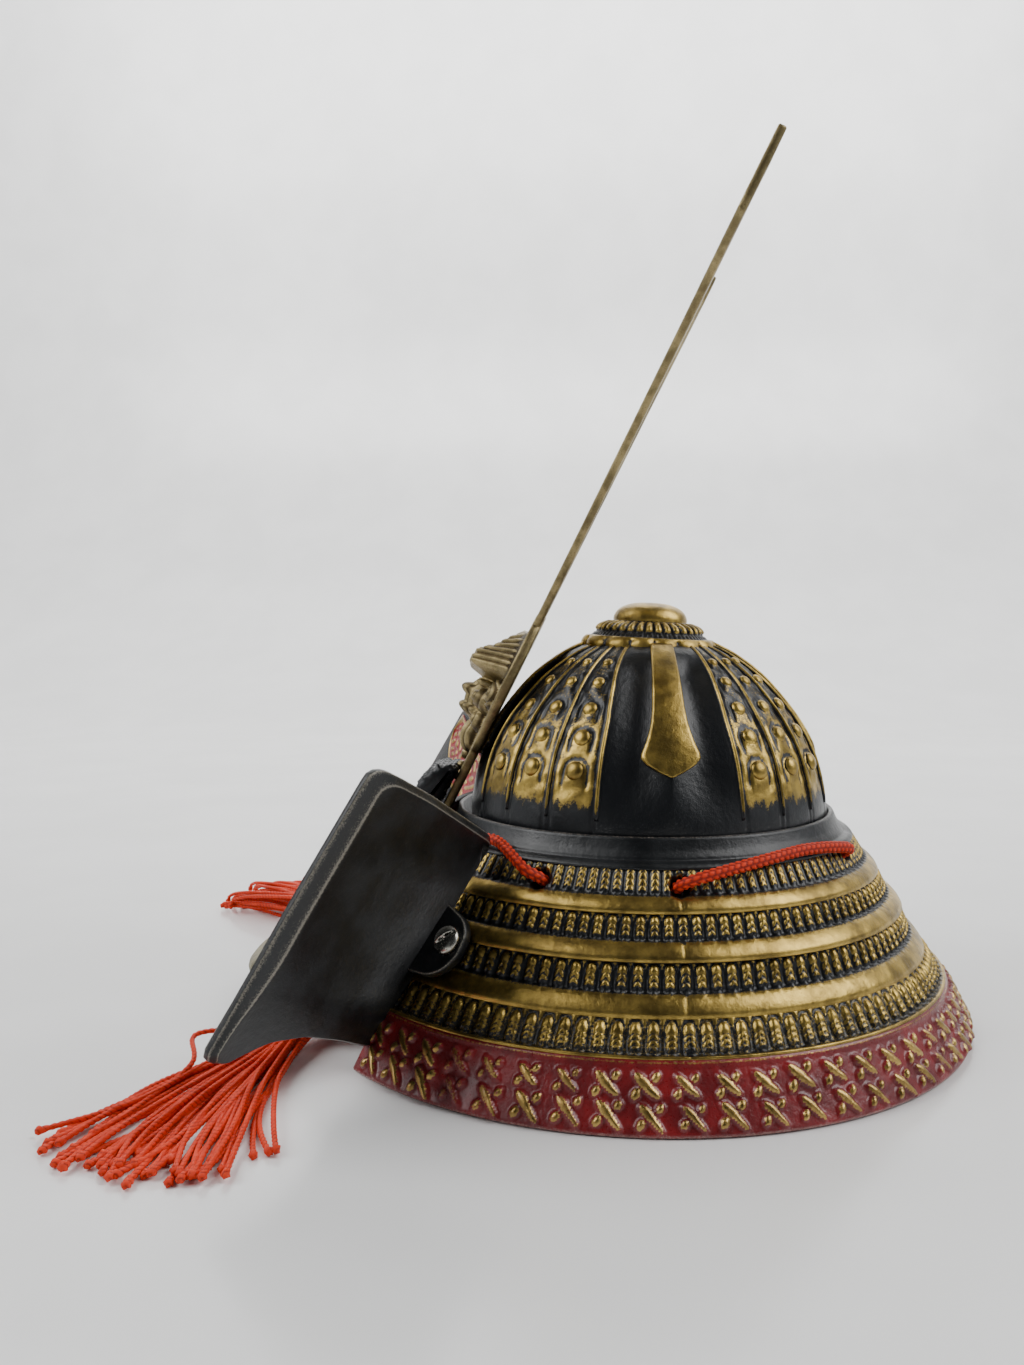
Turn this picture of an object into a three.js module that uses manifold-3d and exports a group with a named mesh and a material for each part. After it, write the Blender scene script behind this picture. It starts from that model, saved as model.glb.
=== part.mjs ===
import * as THREE from "three";
import { mergeVertices } from "three/addons/utils/BufferGeometryUtils.js";
import Module from "manifold-3d";

const wasm = await Module();
wasm.setup();

// Small display helmet. Sizes in millimetres, angles in degrees.
// The front is -Y, the wearer's left is +X and up is +Z. The rim of the neck guard stands on Z = 0.
// A bearing is counted from the front, and is positive towards the wearer's left.

const GAP = 0.3;
const WELD = 1e-4;
const BORE_SIDES = 12;

// The rings of the neck guard are a little longer from front to back than from side to side, and step
// back as they rise. The bowl is round, and stands a little behind the middle of the rim.
const BOWL_BACK = 3.2;
const OVAL = 1.02;
const LEAN = 0.055;
const LEAN_TOP = 43;

// Neck guard: its profiles from rim to shoulder, in shares of the rim radius and the shoulder height.
const RIM_RADIUS = 75;
const SHOULDER_HEIGHT = 42.9;
const OPEN_ANGLE = 39;
const GUARD_STEPS = 33;
const GUARD_OUTER = [
  { radius: 1, height: 0 },
  { radius: 1.001, height: 0.028 },
  { radius: 0.919, height: 0.282 },
  { radius: 0.905, height: 0.291 },
  { radius: 0.856, height: 0.41 },
  { radius: 0.856, height: 0.42 },
  { radius: 0.817, height: 0.501 },
  { radius: 0.807, height: 0.508 },
  { radius: 0.776, height: 0.62 },
  { radius: 0.787, height: 0.629 },
  { radius: 0.747, height: 0.697 },
  { radius: 0.736, height: 0.704 },
  { radius: 0.707, height: 0.802 },
  { radius: 0.712, height: 0.811 },
  { radius: 0.677, height: 0.872 },
  { radius: 0.668, height: 0.881 },
  { radius: 0.629, height: 0.986 },
  { radius: 0.621, height: 0.998 },
  { radius: 0.587, height: 1 },
];
const GUARD_INNER = [
  { radius: 0.587, height: 0.97 },
  { radius: 0.683, height: 0.797 },
  { radius: 0.751, height: 0.629 },
  { radius: 0.824, height: 0.415 },
  { radius: 0.883, height: 0.28 },
  { radius: 0.965, height: 0 },
];

// Bowl: its outside and its inside from base to top, in shares of its radius and its rise.
const BOWL_RADIUS = 41.8;
const BOWL_RISE = 43.9;
const BOWL_HOLE = 3;
const BOWL_STEPS = 36;
const BOWL_OUTER = [
  { radius: 1, height: 0 },
  { radius: 1, height: 0.112 },
  { radius: 0.976, height: 0.248 },
  { radius: 0.938, height: 0.376 },
  { radius: 0.895, height: 0.469 },
  { radius: 0.83, height: 0.572 },
  { radius: 0.746, height: 0.677 },
  { radius: 0.641, height: 0.786 },
  { radius: 0.44, height: 0.923 },
  { radius: 0.311, height: 0.973 },
  { radius: 0.072, height: 1 },
];
const BOWL_INNER = [
  { radius: 0.072, height: 0.945 },
  { radius: 0.287, height: 0.918 },
  { radius: 0.502, height: 0.818 },
  { radius: 0.694, height: 0.658 },
  { radius: 0.845, height: 0.455 },
  { radius: 0.943, height: 0.144 },
  { radius: 0.945, height: 0 },
];

// Collar of the neck guard and the ledge that carries the bowl: they build out from bowl and shoulder.
const LEDGE_OVER_SHOULDER = 0.5;
const LEDGE_THICKNESS = 2;
const LEDGE_WIDTH = 1.9;
const LEDGE_TOP = SHOULDER_HEIGHT + LEDGE_OVER_SHOULDER;
const LEDGE_BOTTOM = LEDGE_TOP - LEDGE_THICKNESS;
const LEDGE_RADIUS = BOWL_RADIUS - LEDGE_WIDTH;
const BOWL_BASE = LEDGE_TOP + GAP;
const COLLAR_WALL = 0.9;
const COLLAR_FLARE = 0.9;
const COLLAR_FOOT = 1.5;
const COLLAR_RISE = 4;
const COLLAR_TOP = LEDGE_TOP + COLLAR_RISE;
const COLLAR_TOP_RADIUS = BOWL_RADIUS + GAP + COLLAR_WALL;
const COLLAR_WAIST = { radius: COLLAR_TOP_RADIUS + COLLAR_FLARE, height: LEDGE_TOP + COLLAR_RISE / 2 };
const COLLAR_RADIUS = COLLAR_WAIST.radius + COLLAR_FOOT;
const COLLAR_STEPS = 36;

// Relief of the bowl: four sectors of ribs and rivets between four plain fields with tongues.
// Its rows are shares of the bowl's rise and of the widest rivet and tongue.
const SECTOR_BEARINGS = [45, 135, 225, 315];
const TONGUE_BEARINGS = [0, 90, 180, 270];
const RIB_PITCH = 16.4;
const RIB_WIDTH = 1.2;
const RIB_HEIGHT = 0.7;
const RIB_HEIGHTS = [0.155, 0.376, 0.572, 0.786, 0.941];
const RELIEF_ROOT = 0.8;
const RELIEF_OUT = 0.8;
const RELIEF_UP = 0.6;
const RIVET_RADIUS = 2.1;
const RIVET_ROWS = [
  { height: 0.369, radius: 1 },
  { height: 0.522, radius: 0.905 },
  { height: 0.654, radius: 0.81 },
  { height: 0.777, radius: 0.69 },
  { height: 0.87, radius: 0.571 },
];
const RIVET_RISE = 0.55;
const RIVET_SIDES = 4;
const TONGUE_HEIGHT = 0.5;
const TONGUE_HALF_WIDTH = 5.9;
const TONGUE_ROWS = [
  { height: 0.932, halfWidth: 0.373 },
  { height: 0.759, halfWidth: 0.407 },
  { height: 0.622, halfWidth: 0.492 },
  { height: 0.531, halfWidth: 0.627 },
  { height: 0.467, halfWidth: 0.847 },
  { height: 0.431, halfWidth: 1 },
  { height: 0.385, halfWidth: 0.678 },
  { height: 0.353, halfWidth: 0.203 },
];

// Crown fitting on top of the bowl, in shares of its radius and rise over its seat.
const CROWN_SINK = 3;
const CROWN_SEAT = BOWL_BASE + BOWL_RISE - CROWN_SINK;
const CROWN_BACK = BOWL_BACK + 0.4;
const CROWN_RADIUS = 16.1;
const CROWN_RISE = 10.8;
const CROWN_TILT = 3;
const CROWN_STEPS = 20;
const CROWN_PROFILE = [
  { radius: 0, height: -0.139 },
  { radius: 0.969, height: -0.139 },
  { radius: 1, height: 0.037 },
  { radius: 0.95, height: 0.204 },
  { radius: 0.82, height: 0.269 },
  { radius: 0.77, height: 0.352 },
  { radius: 0.733, height: 0.481 },
  { radius: 0.621, height: 0.528 },
  { radius: 0.553, height: 0.574 },
  { radius: 0.509, height: 0.759 },
  { radius: 0.373, height: 0.907 },
  { radius: 0.199, height: 0.981 },
  { radius: 0, height: 1 },
];
const STEM_RADIUS = BOWL_HOLE - GAP;
const STEM_LENGTH = 6;

// Visor: a brim that slopes down from the collar, and its rolled lip.
const VISOR_ANGLE = 32;
const VISOR_STEPS = 18;
const VISOR_ROOT = COLLAR_RADIUS + GAP + 0.1;
const VISOR_HEIGHT = LEDGE_TOP + 2.6;
const VISOR_SLOPE = 40.3;
const VISOR_REACH = 58.9;
const VISOR_SIDE_REACH = 9;
const VISOR_FULLNESS = 2.05;
const VISOR_LIP = 6;
const VISOR_THICKNESS = 2.7;
const VISOR_SECTION = [
  { share: 0, from: 0, rise: 0.52 },
  { share: 0.35, from: 0, rise: 0.96 },
  { share: 0.7, from: 0, rise: 0.96 },
  { share: 1, from: -1, rise: 0.6 },
  { share: 1, from: -0.43, rise: 0.84 },
  { share: 1, from: -0.1, rise: 0.5 },
  { share: 1, from: 0, rise: -0.16 },
  { share: 1, from: -0.2, rise: -0.76 },
  { share: 1, from: -0.57, rise: -0.7 },
  { share: 1, from: -0.9, rise: -0.12 },
  { share: 0.35, from: 0, rise: 0.15 },
  { share: 0, from: 0, rise: -0.3 },
];

// Crest: one flat casting that leans back. Along is counted up its back face from the foot.
const CREST_STANDOFF = 5.1;
const CREST_FORWARD = BOWL_RADIUS - BOWL_BACK + CREST_STANDOFF;
const CREST_FOOT_HEIGHT = VISOR_HEIGHT;

// Holder of the crest on the visor, seen from the side, in shares of its reach and rise over the crest's foot.
const HOLDER_HALF_WIDTH = 7.5;
const HOLDER_REACH = 11.3;
const HOLDER_RISE = 11.6;
const HOLDER_OUTLINE = [
  { forward: -0.24, height: 0.966 },
  { forward: 0.257, height: 1 },
  { forward: 0.593, height: 0.741 },
  { forward: 0.788, height: 0.397 },
  { forward: 1, height: -0.379 },
  { forward: 0.469, height: -0.207 },
  { forward: 0.257, height: 0.034 },
];

// Plate of the crest, its shield and its horns, in shares of the shield and of the tips of the horns.
const CREST_LEAN = 26.6;
const CREST_PLATE = 2.2;
const HORN_PLATE = 1.7;
const FOOT_HALF_WIDTH = 4.5;
const FOOT_LENGTH = 15.5;
const FOOT_DEPTH = 2;
const SHIELD_LENGTH = 51.5;
const SHIELD_HALF_WIDTH = 15.6;
const SHIELD_OUTLINE = [
  { along: 0.35, halfWidth: 0.481 },
  { along: 0.447, halfWidth: 0.673 },
  { along: 0.563, halfWidth: 0.885 },
  { along: 0.699, halfWidth: 1 },
  { along: 0.835, halfWidth: 0.962 },
  { along: 0.932, halfWidth: 0.808 },
  { along: 1, halfWidth: 0.545 },
];
const HORN_HALF_WIDTH = 7;
const HORN_TIP_OUT = 51.4;
const HORN_TIP_ALONG = 153.8;
const HORN_ROWS = [
  { out: 0.107, along: 0.286, halfWidth: 0.657 },
  { out: 0.185, along: 0.358, halfWidth: 0.571 },
  { out: 0.261, along: 0.442, halfWidth: 0.529 },
  { out: 0.342, along: 0.546, halfWidth: 0.557 },
  { out: 0.44, along: 0.657, halfWidth: 0.686 },
  { out: 0.572, along: 0.767, halfWidth: 0.857 },
  { out: 0.728, along: 0.858, halfWidth: 0.986 },
  { out: 0.848, along: 0.92, halfWidth: 1 },
];
const HORN_NOTCH = { out: 0.868, along: 0.943 };
const HORN_HOOK = { out: 0.728, along: 0.992 };

// Mask on the crest: bumps on the plate, in shares of the half width, of the length and of the highest bump.
const MASK_FROM = 12.5;
const MASK_TO = 46;
const MASK_HALF_WIDTH = 13;
const MASK_ACROSS = 14;
const MASK_UP = 15;
const MASK_RISE = 8.4;
const MASK_BUMPS = [
  { out: 0.323, along: 0.624, wide: 0.354, tall: 0.081, height: 1 },
  { out: 0, along: 0.415, wide: 0.338, tall: 0.09, height: 0.905 },
  { out: 0.4, along: 0.355, wide: 0.262, tall: 0.078, height: 0.429 },
  { out: 0.738, along: 0.493, wide: 0.231, tall: 0.125, height: 0.31 },
  { out: 0, along: 0.779, wide: 0.492, tall: 0.107, height: 0.405 },
  { out: 0, along: 0.152, wide: 0.246, tall: 0.131, height: 0.357 },
];
const MASK_BASE = 1.6;
const MASK_MARGIN = 0.6;

// Wings: three corners of the left wing, its outline in shares of its width and height, its layers.
const WING_TOP_INNER = { x: 35, y: -32.3, z: 46.3 };
const WING_LOW_INNER = { x: 45.4, y: -57.3, z: 4.8 };
const WING_TOP_OUTER = { x: 76, y: -50.3, z: 66 };
const WING_OUTLINE = [
  { across: 0, down: 0 },
  { across: 0.3, down: -0.012 },
  { across: 0.58, down: -0.022 },
  { across: 0.82, down: -0.02 },
  { across: 0.93, down: -0.016 },
  { across: 1, down: 0.012 },
  { across: 0.994, down: 0.55 },
  { across: 0.97, down: 1.14 },
  { across: 0.9, down: 1.145 },
  { across: 0.826, down: 1.1 },
  { across: 0.7, down: 1.04 },
  { across: 0.51, down: 1.0 },
  { across: 0.27, down: 0.994 },
  { across: 0.027, down: 1.0 },
];
const WING_THICKNESS = 2.7;
const WING_LAYERS = [
  { depth: -0.444, inset: 0.4 },
  { depth: 0, inset: 0 },
  { depth: 0.185, inset: 0 },
  { depth: 0.556, inset: 1 },
];
const WING_OUTER_BEVEL = 4;
const WING_TOP_BEVEL = 1.4;
const WING_LOW_BEVEL = 0.6;
const RIGHT_WING_SWING = -6;

// Field on the front face of the wing, in shares of the wing's width and height.
const FIELD_HEIGHT = 0.9;
const FIELD_OUTLINE = [
  { across: 0.1, down: 0.06 },
  { across: 0.93, down: 0.03 },
  { across: 0.92, down: 0.12 },
  { across: 0.88, down: 0.2 },
  { across: 0.8, down: 0.27 },
  { across: 0.65, down: 0.32 },
  { across: 0.5, down: 0.36 },
  { across: 0.14, down: 0.42 },
];

// Tab of the wing and its screw. The tab lies on the neck guard: across is round it, up is up its slope,
// in shares of its reach and half height.
const SCREW_BEARING = 49.3;
const SCREW_RADIUS_AT = 59.6;
const SCREW_HEIGHT = 25.4;
const SCREW_RISE_ANGLE = 33.4;
const TAB_STANDOFF = 0.9;
const TAB_THICKNESS = 2.2;
const TAB_REACH = 11.2;
const TAB_HALF_HEIGHT = 8.4;
const TAB_OUTLINE = [
  { across: -1, up: 1 },
  { across: -0.589, up: 0.976 },
  { across: 0.143, up: 0.595 },
  { across: 0.321, up: 0.262 },
  { across: 0.321, up: -0.286 },
  { across: 0.107, up: -0.714 },
  { across: -0.214, up: -0.929 },
  { across: -0.911, up: -0.929 },
];
const SCREW_SHANK = 1.3;
const SCREW_HOLE = 1.6;
const SCREW_LENGTH = 6.4;
const SCREW_HEAD = 3;
const SCREW_HEAD_HEIGHT = 1.9;
const SCREW_HEAD_EDGE = 0.4;
const HEAD_ROWS = 5;
const SLOT_WIDTH = 0.8;
const SLOT_DEPTH = 0.9;
const SLOT_TURN = -45;
const SCREW_STEPS = 12;

// Cord: half of its route, from the middle of the back to the open front.
const CORD_RADIUS = 1.25;
const CORD_SIDES = 8;
const CORD_STEP = 7;
const CORD_HOLE = 2.2;
const CORD_HOLES = [
  { bearing: 61.8, radius: 49.25, height: 39.2 },
  { bearing: 94.5, radius: 49.25, height: 39.2 },
  { bearing: 148.5, radius: 48.0, height: 41.0 },
];
const CORD_HOLE_RISE = 34.3;
const CORD_HOLE_REACH = 6;
const CORD_ROUTE = [
  { bearing: 180, radius: 44.6, height: 37.4 },
  { bearing: 166, radius: 44.6, height: 37.4 },
  { bearing: 154, radius: 44.4, height: 37.6 },
  { bearing: 149.6, radius: 45.2, height: 38.8 },
  { bearing: 148.5, radius: 48.0, height: 41.0 },
  { bearing: 146.2, radius: 49.7, height: 42.4 },
  { bearing: 140, radius: 49.2, height: 43.5 },
  { bearing: 128, radius: 48.2, height: 44.2 },
  { bearing: 115, radius: 49.0, height: 43.4 },
  { bearing: 104, radius: 50.2, height: 42.0 },
  { bearing: 97.2, radius: 51.0, height: 40.7 },
  { bearing: 94.5, radius: 49.25, height: 39.2 },
  { bearing: 93.0, radius: 46.1, height: 36.9 },
  { bearing: 87, radius: 44.8, height: 35.8 },
  { bearing: 69, radius: 44.8, height: 35.8 },
  { bearing: 63.3, radius: 46.1, height: 36.9 },
  { bearing: 61.8, radius: 49.25, height: 39.2 },
  { bearing: 59, radius: 51.0, height: 40.9 },
  { bearing: 54, radius: 49.6, height: 43.0 },
  { bearing: 48, radius: 47.4, height: 44.5 },
  { bearing: 43, radius: 46.7, height: 44.8 },
  { bearing: 38.5, radius: 47.6, height: 43.6 },
  { bearing: 36.4, radius: 50.4, height: 40.2 },
  { bearing: 35.6, radius: 53.3, height: 35 },
  { bearing: 35.4, radius: 57.2, height: 26 },
  { bearing: 35.3, radius: 62.0, height: 15 },
];
const LEFT_CORD_END = [
  { x: 34.6, y: -57.6, z: 10.2 },
  { x: 33.6, y: -62.6, z: 8.4 },
];
const RIGHT_CORD_END = [
  { x: -37.6, y: -58.6, z: 9.4 },
  { x: -42.6, y: -67.2, z: 7.2 },
];

// Tassels: a bound head and a fan of locks that lie on the surface.
const HEAD_RADIUS = 3.6;
const HEAD_LENGTH = 9;
const HEAD_SIDES = 10;
const LOCK_SIDES = 5;
const LOCK_COUNT = 9;
const LOCK_LIFT = 0.15;
const LOCK_RADIUS = 2.6;
const LOCK_ROWS = [
  { share: 0, radius: 0.423, lift: 1 },
  { share: 0.16, radius: 0.846, lift: 0.75 },
  { share: 0.4, radius: 1, lift: 0.34 },
  { share: 0.7, radius: 0.923, lift: 0.1 },
  { share: 1, radius: 0.5, lift: 0 },
];
const LEFT_TASSEL = { endX: 95.2, endY: -92, spread: 19.5, bow: -3, pile: 1.1, droop: 0.6 };
const RIGHT_TASSEL = { endX: -98, endY: -116, spread: 20, bow: 0, pile: 6.5, droop: 0.3 };

const rad = THREE.MathUtils.degToRad;
const vec = (x, y, z) => new THREE.Vector3(x, y, z);
const pointOf = (p) => vec(p.x, p.y, p.z);

function ringPoint(radius, bearing, height) {
  const a = rad(bearing);
  const middle = LEAN * Math.min(height, LEAN_TOP);
  return vec(radius * Math.sin(a), middle - OVAL * radius * Math.cos(a), height);
}

function bowlPoint(radius, bearing, height) {
  const a = rad(bearing);
  return vec(radius * Math.sin(a), BOWL_BACK - radius * Math.cos(a), height);
}

// A profile's own lengths from its shares.
function sized(rows, radius, height, base = 0) {
  return rows.map((p) => ({ radius: p.radius * radius, height: base + p.height * height }));
}

const guardOuter = sized(GUARD_OUTER, RIM_RADIUS, SHOULDER_HEIGHT);
const guardInner = sized(GUARD_INNER, RIM_RADIUS, SHOULDER_HEIGHT);
const bowlOuter = sized(BOWL_OUTER, BOWL_RADIUS, BOWL_RISE, BOWL_BASE);
const bowlInner = sized(BOWL_INNER, BOWL_RADIUS, BOWL_RISE, BOWL_BASE);
const onRise = (share) => BOWL_BASE + share * BOWL_RISE;

// One solid from a geometry: shared corners are welded and collapsed triangles dropped.
function solidOf(geometry) {
  const bare = geometry.index ? geometry.toNonIndexed() : geometry.clone();
  bare.deleteAttribute("normal");
  bare.deleteAttribute("uv");
  const welded = mergeVertices(bare, WELD);
  const index = welded.index.array;
  const faces = [];
  for (let i = 0; i < index.length; i += 3) {
    const [a, b, c] = [index[i], index[i + 1], index[i + 2]];
    if (a !== b && b !== c && a !== c) faces.push([a, b, c]);
  }
  const build = (turn) =>
    new wasm.Manifold(
      new wasm.Mesh({
        numProp: 3,
        vertProperties: new Float32Array(welded.attributes.position.array),
        triVerts: new Uint32Array(faces.flatMap(([a, b, c]) => (turn ? [a, c, b] : [a, b, c]))),
      }),
    );
  const made = build(false);
  return made.volume() < 0 ? build(true) : made;
}

function facesOfOutline(points) {
  const normal = vec(0, 0, 0);
  points.forEach((p, i) => {
    const q = points[(i + 1) % points.length];
    normal.add(vec((p.y - q.y) * (p.z + q.z), (p.z - q.z) * (p.x + q.x), (p.x - q.x) * (p.y + q.y)));
  });
  normal.normalize();
  const across = points[1].clone().sub(points[0]).normalize();
  const up = normal.clone().cross(across);
  const flat = points.map((p) => new THREE.Vector2(p.dot(across), p.dot(up)));
  return THREE.ShapeUtils.triangulateShape(flat, []);
}

// A skin over a row of sections with the same count of points, closed at the ends or round on itself.
function skinOf(sections, round = false) {
  const soup = [];
  const count = sections[0].length;
  const last = round ? sections.length : sections.length - 1;
  for (let i = 0; i < last; i += 1) {
    const a = sections[i];
    const b = sections[(i + 1) % sections.length];
    for (let j = 0; j < count; j += 1) {
      const k = (j + 1) % count;
      soup.push(a[j], b[j], b[k], a[j], b[k], a[k]);
    }
  }
  if (!round) {
    const end = sections[sections.length - 1];
    facesOfOutline(sections[0]).forEach(([a, b, c]) => {
      soup.push(sections[0][a], sections[0][b], sections[0][c]);
    });
    facesOfOutline(end).forEach(([a, b, c]) => soup.push(end[a], end[c], end[b]));
  }
  return solidOf(new THREE.BufferGeometry().setFromPoints(soup));
}

function turned(profile, first, last, steps, pointAt = ringPoint) {
  const round = last - first === 360;
  const sections = [];
  for (let i = 0; i < (round ? steps : steps + 1); i += 1) {
    const bearing = first + ((last - first) * i) / steps;
    sections.push(profile.map((p) => pointAt(p.radius, bearing, p.height)));
  }
  return skinOf(sections, round);
}

function tubeAlong(points, radii, sides) {
  const tangents = points.map((p, i) => {
    const before = points[Math.max(i - 1, 0)];
    const after = points[Math.min(i + 1, points.length - 1)];
    return after.clone().sub(before).normalize();
  });
  let side = tangents[0].clone().cross(vec(0, 0, 1));
  if (side.length() < 0.1) side = vec(1, 0, 0);
  const sections = points.map((p, i) => {
    const t = tangents[i];
    side.sub(t.clone().multiplyScalar(side.dot(t))).normalize();
    const up = t.clone().cross(side);
    return Array.from({ length: sides }, (unused, j) => {
      const a = (2 * Math.PI * (j + 0.5)) / sides;
      return p
        .clone()
        .addScaledVector(side, radii[i] * Math.cos(a))
        .addScaledVector(up, radii[i] * Math.sin(a));
    });
  });
  return skinOf(sections);
}

// A plate between outlines at several depths of one plane.
function plateOf(layers, frame) {
  return skinOf(
    layers.map(({ outline, depth }) =>
      outline.map(([u, v]) =>
        frame.origin
          .clone()
          .addScaledVector(frame.across, u)
          .addScaledVector(frame.up, v)
          .addScaledVector(frame.out, depth),
      ),
    ),
  );
}

function placed(geometry, frame) {
  const basis = new THREE.Matrix4().makeBasis(frame.across, frame.up, frame.out);
  return geometry.clone().applyMatrix4(basis.setPosition(frame.origin));
}

function radiusAt(profile, height) {
  for (let i = 1; i < profile.length; i += 1) {
    const [low, high] = [profile[i - 1], profile[i]];
    if (height <= high.height) {
      const share = (height - low.height) / (high.height - low.height);
      return THREE.MathUtils.lerp(low.radius, high.radius, share);
    }
  }
  return profile[profile.length - 1].radius;
}

// Frame on the outside of a turned body: out is the normal, up is along the slope.
function frameOn(radius, bearing, height, rise, pointAt = ringPoint) {
  const a = rad(bearing);
  const away = vec(Math.sin(a), -Math.cos(a), 0);
  const out = away.multiplyScalar(Math.cos(rad(rise))).add(vec(0, 0, Math.sin(rad(rise))));
  const across = vec(Math.cos(a), Math.sin(a), 0);
  const up = out.clone().cross(across);
  return { origin: pointAt(radius, bearing, height), across, up, out };
}

const mirrored = (solid) => solid.mirror([1, 0, 0]);

function drill(frame, radius, from, to) {
  const bar = new THREE.CylinderGeometry(radius, radius, to - from, BORE_SIDES);
  bar.rotateX(Math.PI / 2).translate(0, 0, (from + to) / 2);
  return solidOf(placed(bar, frame));
}

// Neck guard.
const screwFrame = frameOn(SCREW_RADIUS_AT, SCREW_BEARING, SCREW_HEIGHT, SCREW_RISE_ANGLE);
const skirt = turned([...guardOuter, ...guardInner], OPEN_ANGLE, 360 - OPEN_ANGLE, GUARD_STEPS);
const collarProfile = [
  { radius: COLLAR_RADIUS, height: LEDGE_BOTTOM },
  { radius: COLLAR_RADIUS, height: LEDGE_TOP },
  COLLAR_WAIST,
  { radius: COLLAR_TOP_RADIUS, height: COLLAR_TOP },
  { radius: BOWL_RADIUS + GAP, height: COLLAR_TOP },
  { radius: BOWL_RADIUS + GAP, height: LEDGE_TOP },
  { radius: LEDGE_RADIUS, height: LEDGE_TOP },
  { radius: LEDGE_RADIUS, height: LEDGE_BOTTOM },
];
const collar = turned(collarProfile, 0, 360, COLLAR_STEPS);
let guard = skirt.add(collar);
for (const hole of CORD_HOLES) {
  const frame = frameOn(hole.radius, hole.bearing, hole.height, CORD_HOLE_RISE);
  const bore = drill(frame, CORD_HOLE, -CORD_HOLE_REACH / 2, CORD_HOLE_REACH / 2);
  guard = guard.subtract(bore).subtract(mirrored(bore));
}
const screwBore = drill(screwFrame, SCREW_HOLE, -SCREW_LENGTH, SCREW_LENGTH);
guard = guard.subtract(screwBore).subtract(mirrored(screwBore));

// Bowl with its ribs, rivets and tongues.
let bowl = turned([...bowlOuter, ...bowlInner], 0, 360, BOWL_STEPS, bowlPoint);

function onBowl(height, bearing, lift) {
  return bowlPoint(radiusAt(bowlOuter, height) + lift * RELIEF_OUT, bearing, height + lift * RELIEF_UP);
}

function strip(bearing, rows, lift) {
  return skinOf(
    rows.map(({ height, halfWidth }) => {
      const half = THREE.MathUtils.radToDeg(halfWidth / radiusAt(bowlOuter, height));
      return [
        onBowl(height, bearing - half, -RELIEF_ROOT),
        onBowl(height, bearing + half, -RELIEF_ROOT),
        onBowl(height, bearing + half, lift),
        onBowl(height, bearing - half, lift),
      ];
    }),
  );
}

for (const middle of SECTOR_BEARINGS) {
  for (const offset of [-1.5, -0.5, 0.5, 1.5]) {
    const rows = RIB_HEIGHTS.map((share) => ({ height: onRise(share), halfWidth: RIB_WIDTH / 2 }));
    bowl = bowl.add(strip(middle + offset * RIB_PITCH, rows, RIB_HEIGHT));
  }
  for (const offset of [-1, 0, 1]) {
    for (const row of RIVET_ROWS) {
      const height = onRise(row.height);
      const radius = row.radius * RIVET_RADIUS;
      const rise = THREE.MathUtils.radToDeg(Math.atan2(height - BOWL_BASE, BOWL_RADIUS));
      const frame = frameOn(radiusAt(bowlOuter, height), middle + offset * RIB_PITCH, height, rise, bowlPoint);
      const knob = new THREE.CylinderGeometry(
        radius * RIVET_RISE,
        radius,
        radius * RIVET_RISE + RELIEF_ROOT,
        RIVET_SIDES,
      );
      knob.rotateX(Math.PI / 2).translate(0, 0, (radius * RIVET_RISE - RELIEF_ROOT) / 2);
      bowl = bowl.add(solidOf(placed(knob, frame)));
    }
  }
}
const tongueRows = TONGUE_ROWS.map((row) => ({
  height: onRise(row.height),
  halfWidth: row.halfWidth * TONGUE_HALF_WIDTH,
}));
for (const bearing of TONGUE_BEARINGS) bowl = bowl.add(strip(bearing, tongueRows, TONGUE_HEIGHT));

// Crown fitting: its underside follows the bowl.
const crownFrame = {
  origin: vec(0, CROWN_BACK, CROWN_SEAT),
  across: vec(1, 0, 0),
  up: vec(0, Math.cos(rad(CROWN_TILT)), -Math.sin(rad(CROWN_TILT))),
  out: vec(0, Math.sin(rad(CROWN_TILT)), Math.cos(rad(CROWN_TILT))),
};
const lathe = (points, steps) => new THREE.LatheGeometry(points, steps).rotateX(Math.PI / 2);
const crownShape = lathe(
  CROWN_PROFILE.map((p) => new THREE.Vector2(p.radius * CROWN_RADIUS, p.height * CROWN_RISE)),
  CROWN_STEPS,
);
const overBowl = turned(
  [
    ...bowlOuter.map((p) => ({ radius: p.radius + RELIEF_OUT * (GAP + RIB_HEIGHT), height: p.height + GAP })),
    { radius: 0, height: BOWL_BASE + BOWL_RISE + GAP },
    { radius: 0, height: BOWL_BASE },
  ],
  0,
  360,
  BOWL_STEPS,
  bowlPoint,
);
const stem = new THREE.CylinderGeometry(STEM_RADIUS, STEM_RADIUS, STEM_LENGTH, BORE_SIDES);
stem.rotateX(Math.PI / 2).translate(0, BOWL_BACK, CROWN_SEAT + STEM_LENGTH / 2 - 1);
const crown = solidOf(placed(crownShape, crownFrame)).subtract(overBowl).add(solidOf(stem));

// Crest.
const crestFrame = {
  origin: vec(0, -CREST_FORWARD, CREST_FOOT_HEIGHT),
  across: vec(1, 0, 0),
  up: vec(0, Math.sin(rad(CREST_LEAN)), Math.cos(rad(CREST_LEAN))),
  out: vec(0, -Math.cos(rad(CREST_LEAN)), Math.sin(rad(CREST_LEAN))),
};
const shieldRows = [
  { along: -FOOT_DEPTH, halfWidth: FOOT_HALF_WIDTH },
  { along: FOOT_LENGTH, halfWidth: FOOT_HALF_WIDTH },
  ...SHIELD_OUTLINE.map((p) => ({
    along: p.along * SHIELD_LENGTH,
    halfWidth: p.halfWidth * SHIELD_HALF_WIDTH,
  })),
];
const shieldRight = shieldRows.map((p) => [p.halfWidth, p.along]);
const shieldLeft = [...shieldRows].reverse().map((p) => [-p.halfWidth, p.along]);
const shieldOutline = [...shieldRight, ...shieldLeft];
const shield = plateOf(
  [
    { outline: shieldOutline, depth: 0 },
    { outline: shieldOutline, depth: CREST_PLATE },
  ],
  crestFrame,
);

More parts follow.
